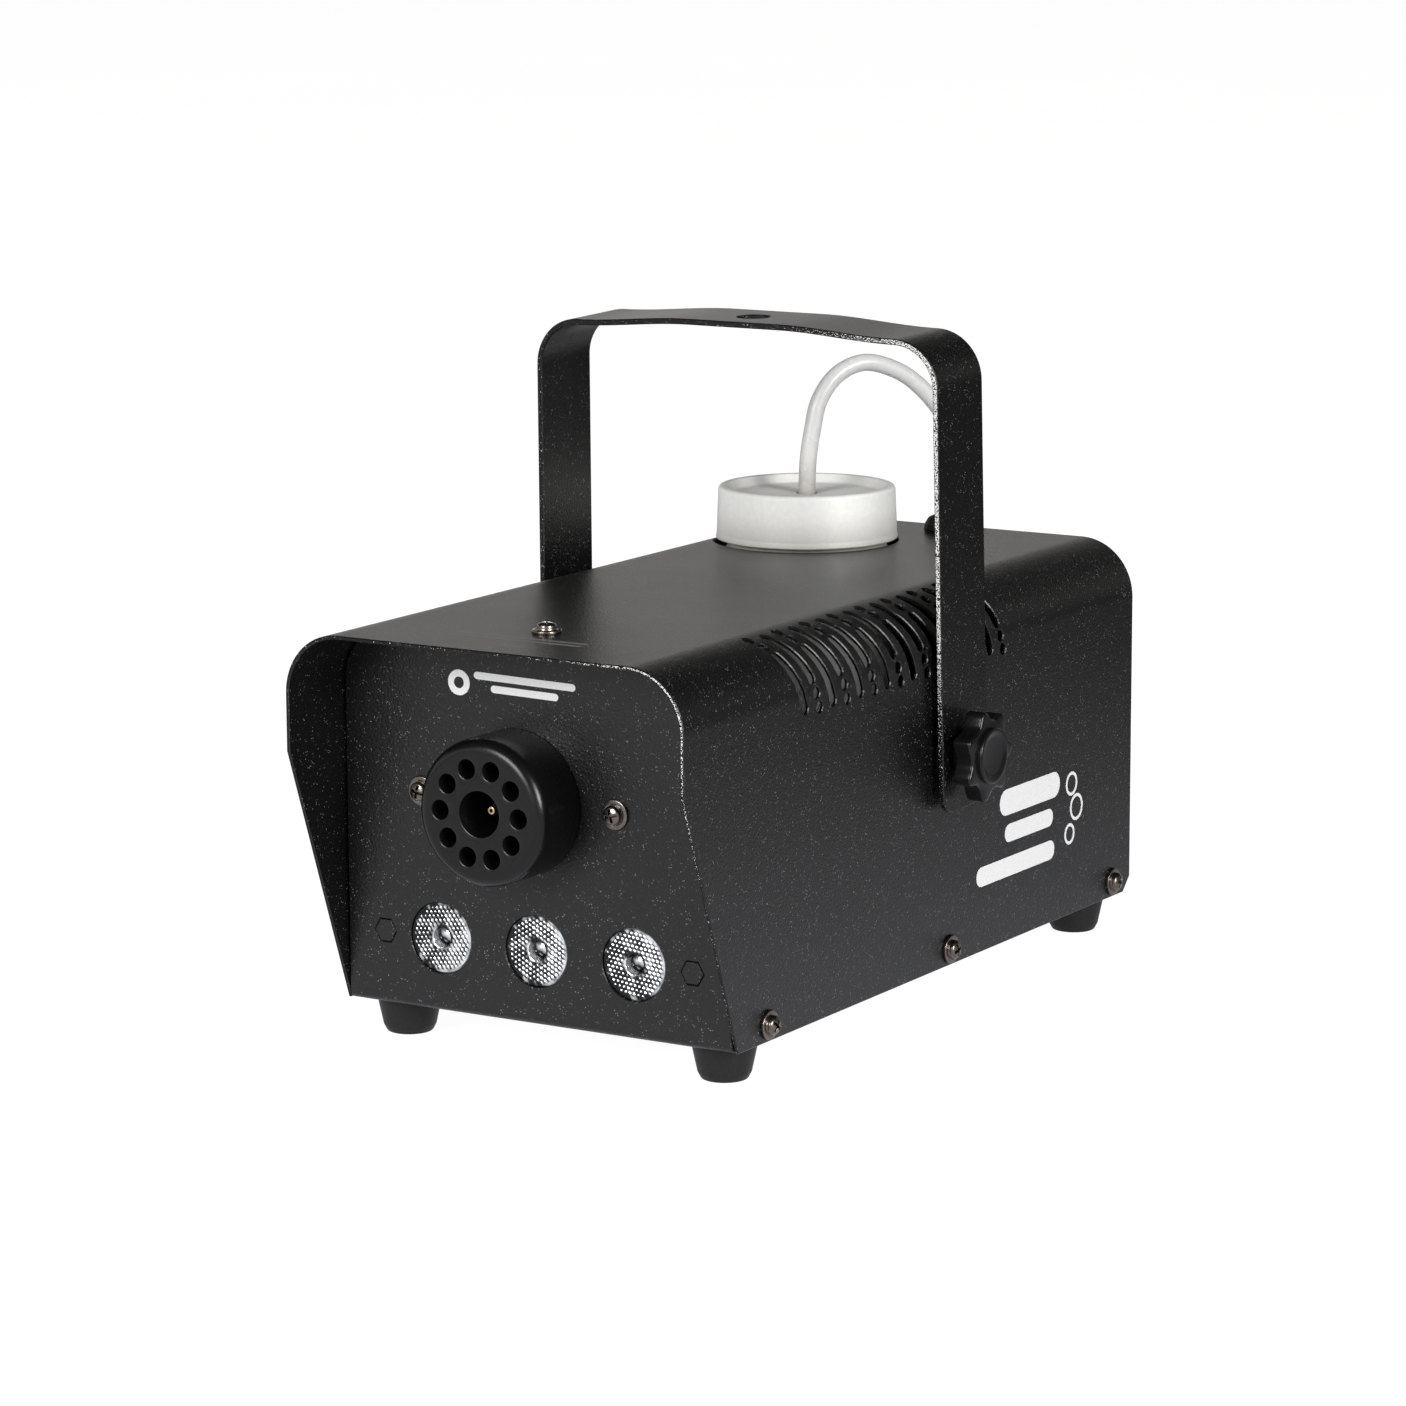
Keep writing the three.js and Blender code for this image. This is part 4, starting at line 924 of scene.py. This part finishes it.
def make_nozzle():
    length = 17.4
    rim = [(3, 0), (2.25, 0.1), (1.55, 0.4), (0.9, 0.95), (0.4, 1.7), (0.1, 2.6), (0, 3.4),
           (0, length - 0.3), (0.3, length), (3, length)]
    edge = [(0.45, 0), (0.14, 0.12), (0, 0.45), (0, length - 0.2), (0.45, length)]
    holes = [circle(0, 0, 5.85, 64)]
    for i in range(10):
        angle = 2 * pi * (i + 0.5) / 10
        holes.append(circle(11.7 * sin(angle), 11.7 * cos(angle), 2.45, 32))
    guard = plate(circle(0, 0, 18.9, 120), length, holes, rim, edge)
    guard[3] = [None] * len(guard[0])
    place = laid("front", (NOZZLE.x, PANEL, NOZZLE.z)) @ shifted((0, 0, length + FIT))
    piece("nozzle_guard_finish", moved(guard, place), [SATIN])
    tip = lathe([(0.5, -5), (4, -5, 0.2), (4, 4, 0.4), (1.4, 9.5, 0.3), (1, 12, 0.15),
                 (0.5, 12)], 40)
    place = laid("front", (NOZZLE.x, PANEL, NOZZLE.z))
    piece("nozzle_tip_finish", moved(tip, place), [BRASS])


def lens_solid():
    """A lens with a pebbled face around a round recess, its face at z = -0.5 and its cone behind."""
    count = 72
    outer, hole = circle(0, 0, 9.0, count), circle(0, 0, 2.8, count)
    pebble = 1.1

    def relief(x, y):
        waves = [cos(2 * pi / pebble * (x * cos(a) + y * sin(a)))
                 for a in (0, pi / 3, 2 * pi / 3)]
        radius = hypot(x, y)
        fade = min(1, max(0, (8.8 - radius) / 0.8)) * min(1, max(0, (radius - 3.1) / 0.8))
        return 0.085 * fade * sum(waves)

    field = grid(-9, 9, -9, 9, 0.3, 0.3)
    loops = [wound(outer, True), wound(hole, False)]
    radius = np.hypot(*field.T)
    field = field[(radius < 8.7) & (radius > 3.1)]
    spots, faces, found = filled(loops, field)
    points = [(x, y, -0.5 + relief(x, y)) for x, y in spots]
    walls = (
        (0, loops[0], ((9.0, -1.1), (10.4, -1.1), (10.4, -2.4), (8.2, -2.4), (3.4, -7.0)), -7.0),
        (count, loops[1], ((2.62, -0.7), (2.4, -2.9), (1.2, -2.15)), -1.95),
    )
    for start, loop, rings, floor in walls:
        row = [found[start + i] for i in range(count)]
        for size, height in rings:
            new = list(range(len(points), len(points) + count))
            points += [(*(p * size / np.hypot(*p)), height) for p in loop]
            for i in range(count):
                j = (i + 1) % count
                faces.append([row[j], row[i], new[i], new[j]])
            row = new
        points.append((0, 0, floor))
        faces += [[row[(i + 1) % count], row[i], len(points) - 1] for i in range(count)]
    return drop_loose([Vector(p) for p in points], faces, [0] * len(faces), [None] * len(points))


def make_lenses():
    mesh = mesh_of("led_lens", lens_solid(), [LENS], 55)
    for side, name in ((-1, "left"), (0, "middle"), (1, "right")):
        matrix = laid("front", (side * LED_PITCH, PANEL, LED_Z)) @ Matrix.Rotation(0.4 * side, 4, "Z")
        copy(f"led_lens_{name}", mesh, matrix)


# ---- bottle, cap, tube and grommet ----

CAP_FLOOR = TOP + 13.0
LOOP = (
    (0, 14), (0.4, 22.4), (1.72, 30.8), (3.88, 39.1), (9.3, 45.9), (17.5, 48.9), (28.3, 45.8),
    (36.2, 39.8), (42, 32.6), (45.2, 25), (44.9, 17.3), (43.5, 10.8), (42.75, 7.8), (42.58, 5.4),
)


def smooth(points, parts=14):
    """A centripetal Catmull-Rom line through the points."""
    line = [Vector(p) for p in points]
    ends = [2 * line[0] - line[1]] + line + [2 * line[-1] - line[-2]]
    out = []
    for a, b, c, d in zip(ends, ends[1:], ends[2:], ends[3:]):
        k0, k1, k2 = (sqrt((q - p).length) for p, q in ((a, b), (b, c), (c, d)))
        start = ((b - a) / k0 - (c - a) / (k0 + k1) + (c - b) / k1) * k1
        end = ((c - b) / k1 - (d - b) / (k1 + k2) + (d - c) / k2) * k1
        for i in range(parts):
            t = i / parts
            out.append((2 * t**3 - 3 * t**2 + 1) * b + (t**3 - 2 * t**2 + t) * start
                       + (3 * t**2 - 2 * t**3) * c + (t**3 - t**2) * end)
    return out + [line[-1]]


def make_tube():
    """The tube in two pieces: one goes up with the bottle, one stretches down to the grommet."""
    span = hypot(GROMMET.x - BOTTLE.x, GROMMET.y - BOTTLE.y)

    def spot(way, rise):
        share = way / span
        x = BOTTLE.x + share * (GROMMET.x - BOTTLE.x)
        return Vector((x, BOTTLE.y + share * (GROMMET.y - BOTTLE.y), TOP + rise))

    line = smooth(LOOP)
    crest = max(range(len(line)), key=lambda i: line[i][1])
    split = next(i for i in range(crest, len(line)) if line[i][1] < 25.5)
    foot = box_mm("pickup_filter")[1].z + FIT - TOP
    rise = [spot(0, foot + (14 - foot) * i / 12) for i in range(12)]
    over = rise + [spot(*p) for p in line[:split + 1]]
    drop = [spot(*p) for p in line[split:]]
    drop += [spot(span, 5.4 - 95.4 * i / 20) for i in range(1, 21)]
    piece("feed_tube_loop", pipe(over, TUBE_RADIUS), [SILICONE], "bottle", ["feed_tube"])
    tail = piece("feed_tube_drop", pipe(drop, TUBE_RADIUS), [SILICONE], None, ["feed_tube"])
    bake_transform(tail)


def make_bottle():
    axis = shifted((BOTTLE.x, BOTTLE.y, 0))
    low = box_mm("bottle")[0].z
    bottle = lathe([(0, low), (22.5, low, 2), (25.5, low + 3, 2), (25.5, 104, 4), (22.3, 108.5, 2),
                    (22.3, 120, 0.3), (20.6, 120, 0.3), (20.6, 108, 2), (24.2, 103, 4),
                    (24.2, low + 4, 2), (20.5, low + 1.3, 2), (0, low + 1.3)], 96)
    piece("bottle_finish", moved(bottle, axis), [MILKY], "bottle")
    cap = lathe([(23, 110.6, 0.2), (25.65, 110.6, 0.45), (25.35, 112.4, 0.6), (24.85, 125.4, 1.7),
                 (22.3, 125.4, 1.2), (20.4, CAP_FLOOR, 1.6), (2.9, CAP_FLOOR, 0.4),
                 (TUBE_HOLE, CAP_FLOOR - 0.4), (TUBE_HOLE, 121.5), (23, 121.5, 0.3)], 128)
    piece("bottle_cap_finish", moved(cap, axis), [MILKY], "bottle_cap")
    seal = lathe([(TUBE_HOLE, 120.1), (22.3, 120.1, 0.3), (22.3, 121.4, 0.3), (TUBE_HOLE, 121.4)], 64)
    piece("cap_seal_finish", moved(seal, axis), [SILICONE], "cap_seal")
    grommet = lathe([(TUBE_HOLE, -2.4, 0.2), (5, -2.4, 0.4), (5.2, -1.1, 0.2), (4.3, -1.1), (4.3, 0.1),
                     (6, 0.1, 0.3), (5.75, 1.8, 1.5), (4.7, 3.6, 1.5), (TUBE_HOLE, 4.5, 0.5)], 56)
    place = shifted((GROMMET.x, GROMMET.y, TOP))
    piece("tube_grommet_finish", moved(grommet, place), [RUBBER])


# ---- knobs and washers ----

def knob_solid():
    """A seven-lobed star with a stepped disc on its face, a hub behind and a stud."""
    outline = []
    for i in range(168):
        angle = 2 * pi * i / 168
        radius = 9.6 + 2.7 * (0.5 + 0.5 * cos(7 * angle)) ** 1.5
        turned = angle - radians(11)
        outline.append((radius * cos(turned), radius * sin(turned)))
    rim = [(0.9, 0), (0.55, 0.05), (0.25, 0.2), (0.06, 0.45), (0, 0.85), (0, 4.9), (0.25, 5.3),
           (0.9, 5.55)]
    star = plate(outline, 5.55, [], rim)
    star[3] = [None] * len(star[0])
    star = moved(star, shifted((0, 0, 11.8)))
    disc = lathe([(0, 10.5), (7.5, 10.5), (7.5, 13, 0.5), (6.5, 13, 0.3), (5.2, 12.55, 0.8),
                  (0, 12.35)], 72)
    hub = lathe([(0, 5.55), (6.4, 5.55, 0.3), (6.4, 7.5), (0, 7.5)], 48)
    stud = lathe([(0, -8), (2.6, -8, 0.2), (3, -7.5), (3, 6), (0, 6)], 32)
    return joined(star, disc, hub, toned(stud, 1))


def make_knobs():
    knob = mesh_of("knob", knob_solid(), [PLASTIC, STEEL], 32)
    outer = HANDLE_WIDTH / 2 - HALF_WIDTH
    thin = outer - STRAP["thick"] - SLIP
    friction = lathe([(3.4, FIT), (9, FIT, 0.2), (9, thin, 0.2), (3.4, thin)], 56)
    under = lathe([(3.4, outer + SLIP), (6.6, outer + SLIP, 0.2), (6.6, 5.45, 0.2), (3.4, 5.45)], 48)
    friction_mesh = mesh_of("friction_washer", friction, [PLASTIC])
    under_mesh = mesh_of("knob_washer", under, [SATIN])
    for side, name in SIDES:
        matrix = laid(name, (side * HALF_WIDTH, PIVOT.y, PIVOT.z))
        copy(f"knob_{name}", knob, matrix, f"knob_{name}")
        copy(f"knob_washer_{name}", under_mesh, matrix, f"knob_washer_{name}")
        copy(f"friction_washer_{name}", friction_mesh, matrix)


# ---- rear panel fittings ----

def on_rear(at, depth=0.0):
    """Lays a plate on the rear panel. Its second axis then points down."""
    return laid("rear", (at.x, REAR_PANEL + depth, at.z))


def make_inlet():
    cavity = rectangle(-12.2, 12.2, -13.9, 2.6, 2.0)
    slot = rectangle(-11.2, 11.2, 5.4, 14.2, 0.8)
    face = plate(rectangle(-15.5, 15.5, -20, 20, 3.0), 2.3, [cavity, slot], soft_rim(0.7, 2.3))
    shell = plate(rectangle(-13.4, 13.4, -16.6, 16.6, 1.2), 15.4, [cavity, slot])
    back = plate(rectangle(-13.3, 13.3, -16.5, 16.5, 1.2), 4.6)
    parts = [moved(face, on_rear(INLET, 2.4)), moved(shell, on_rear(INLET, 0.4))]
    parts.append(moved(back, on_rear(INLET, -15.2)))
    for x, z in ((-7, 3), (0, 7.6), (7, 3)):
        pin = plate(rectangle(x - 1, x + 1, -z - 2, -z + 2, 0.4), 15, [], soft_rim(0.25, 15))
        parts.append(toned(moved(pin, on_rear(INLET, -1.0)), 1))
    piece("power_inlet_finish", joined(*parts), [PLASTIC, STEEL])
    body = plate(rectangle(-10.8, 10.8, 5.8, 13.8, 0.6), 17)
    grip = stadium(0, 12.4, 3.0, 0.9, 0.0)
    lip = plate(rectangle(-12, 12, 4.6, 15, 1.0), 1.0, [grip], soft_rim(0.3, 1))
    drawer = joined(moved(body, on_rear(INLET, 2.7)), moved(lip, on_rear(INLET, 3.6)))
    piece("fuse_drawer_finish", drawer, [PLASTIC], "fuse_drawer")


def make_switch():
    opening = rectangle(-5.5, 5.5, -8.9, 8.9, 0.5)
    bezel = plate(rectangle(-7.5, 7.5, -10.5, 10.5, 1.6), 1.7, [opening], soft_rim(0.6, 1.7))
    shell = plate(rectangle(-6.4, 6.4, -9.5, 9.5, 0.6), 9.2, [opening])
    back = plate(rectangle(-6.3, 6.3, -9.4, 9.4, 0.6), 9.2)
    parts = [moved(bezel, on_rear(SWITCH, 1.8)), moved(shell, on_rear(SWITCH, 0.3))]
    parts.append(moved(back, on_rear(SWITCH, -8.8)))
    piece("switch_body_finish", joined(*parts), [PLASTIC])
    profile = [(-5, -4), (-1, -8), (4.2, -8), (3.5, -4), (3, 0), (3.5, 4), (4.2, 8), (-1, 8), (-5, 4)]
    rocker = plate(profile, 10.4, [], soft_rim(0.45, 10.4))
    swing = Matrix.Rotation(radians(-7), 4, "X")
    place = shifted((SWITCH.x, REAR_PANEL - 2, SWITCH.z)) @ swing @ SIDEWAYS
    rocker = moved(rocker, place @ shifted((0, 0, 5.2)))
    piece("switch_rocker_finish", rocker, [PLASTIC], "switch_rocker")


def make_socket():
    body = lathe([(0, -13), (7.5, -13, 0.4), (7.5, 0.1), (10, 0.1, 0.3), (10, 2, 0.6), (8.4, 2.4, 0.2),
                  (8.4, 5, 0.4), (6.4, 5, 0.4), (6.4, -4, 0.3), (0, -4)], 64)
    parts = [body]
    for i in range(3):
        angle = pi * (0.5 + 2 * i / 3)
        pin = lathe([(0, -4.5), (0.8, -4.5), (0.8, 2, 0.6), (0, 2)], 16)
        place = shifted((3.4 * cos(angle), 3.4 * sin(angle), 0))
        parts.append(toned(moved(pin, place), 1))
    socket = moved(joined(*parts), on_rear(SOCKET))
    piece("remote_socket_finish", socket, [SATIN, STEEL])


# ---- stage and camera ----

def add_stage():
    """A pale floor that looks white and is clear from below. Reflections see it as bright near
    the front only."""
    g = Graph(bpy.data.materials.new("pale_floor"))
    pale = g.mix(g.spread(g.noise(400.0), 0.3, 0.7), (0.3, 0.3, 0.3, 1), (0.34, 0.34, 0.34, 1))
    g.set(Base_Color=pale, Roughness=0.9, Specular_IOR_Level=0.0)
    g.set(Emission_Color=(1, 1, 1, 1), Emission_Strength=0.95)
    spot = g.node("VectorMath", {0: g.coords, 1: (-0.3, -0.5, 0)}, 1, operation="DISTANCE")
    shine = g.spread(spot, 0.55, 1.25, 0.76, 0.06)
    glow = g.node("Emission", {"Color": (0.96, 0.965, 1, 1), "Strength": shine})
    seen = g.node("LightPath", {}, "Is Camera Ray")
    above = g.node("MixShader", {0: seen, 1: glow, 2: g.shader.outputs[0]})
    below = g.node("NewGeometry", {}, "Backfacing")
    both = g.node("MixShader", {0: below, 1: above, 2: g.node("BsdfTransparent", {})})
    g.feed(g.tree.nodes["Material Output"].inputs["Surface"], both)
    bpy.ops.mesh.primitive_grid_add(size=40, location=(0, 0, -0.0003))
    floor = bpy.context.object
    floor.name = "floor"
    floor.data.materials.append(g.material)


def add_world():
    """White where the camera sees it. Reflections see a backdrop that is brightest at the front,
    fades to the right rear, and gives way to a dark studio higher up."""
    world = bpy.data.worlds.new("studio")
    bpy.context.scene.world = world
    g = Graph(world, "Generated")
    x, y, z = (g.part(axis) for axis in range(3))
    rear = g.spread(y, -0.2, 0.5)
    right = g.spread(x, -0.5, 0.4, 0.88, 0.2)
    level = g.node("Mix", {0: rear, 2: 0.85, 3: right})
    level = g.math("MULTIPLY", level, g.spread(z, 0.17, 0.4, 1.0, 0.07))
    tints = {i: g.math("MULTIPLY", level, tint) for i, tint in enumerate((1, 0.985, 0.95))}
    color = g.node("CombineColor", tints)
    seen = g.node("LightPath", {}, "Is Camera Ray")
    g.feed(g.tree.nodes["Background"].inputs[0], g.mix(seen, color, (1, 1, 1, 1)))


def add_light(name, place, target, size, power):
    data = bpy.data.lights.new(name, "AREA")
    data.shape = "DISK"
    data.size = size
    data.energy = power
    lamp = bpy.data.objects.new(name, data)
    bpy.context.scene.collection.objects.link(lamp)
    lamp.location = place
    lamp.rotation_euler = (Vector(target) - Vector(place)).to_track_quat("-Z", "Y").to_euler()


def add_camera():
    azimuth, elevation, roll = radians(31.506), radians(10.603), -0.004159
    away = Vector((sin(azimuth) * cos(elevation),
                   -cos(azimuth) * cos(elevation), sin(elevation)))
    level = Vector((0, 0, 1)).cross(away).normalized()
    up = away.cross(level)
    right = cos(roll) * level + sin(roll) * up
    top = cos(roll) * up - sin(roll) * level
    data = bpy.data.cameras.new("camera")
    data.lens = 127.17
    data.sensor_width = 36
    camera = bpy.data.objects.new("camera", data)
    bpy.context.scene.collection.objects.link(camera)
    matrix = Matrix((right, top, away)).transposed().to_4x4()
    matrix.translation = Vector((0.67443, -1.11654, 0.32154))
    camera.matrix_world = matrix
    bpy.context.scene.camera = camera


finish_frame()
make_cover()
make_tray()
make_handle()
make_screws()
make_feet()
make_studs()
make_nozzle()
make_lenses()
make_bottle()
make_tube()
make_knobs()
make_inlet()
make_switch()
make_socket()
add_stage()
add_world()
add_light("softbox_front", (-0.3, -2.0, 0.9), (0, 0, 0.08), 1.0, 33)
add_light("softbox_right", (2.0, -0.8, 0.8), (0, 0, 0.08), 0.9, 44)
add_camera()
bpy.context.scene.view_settings.view_transform = "Standard"
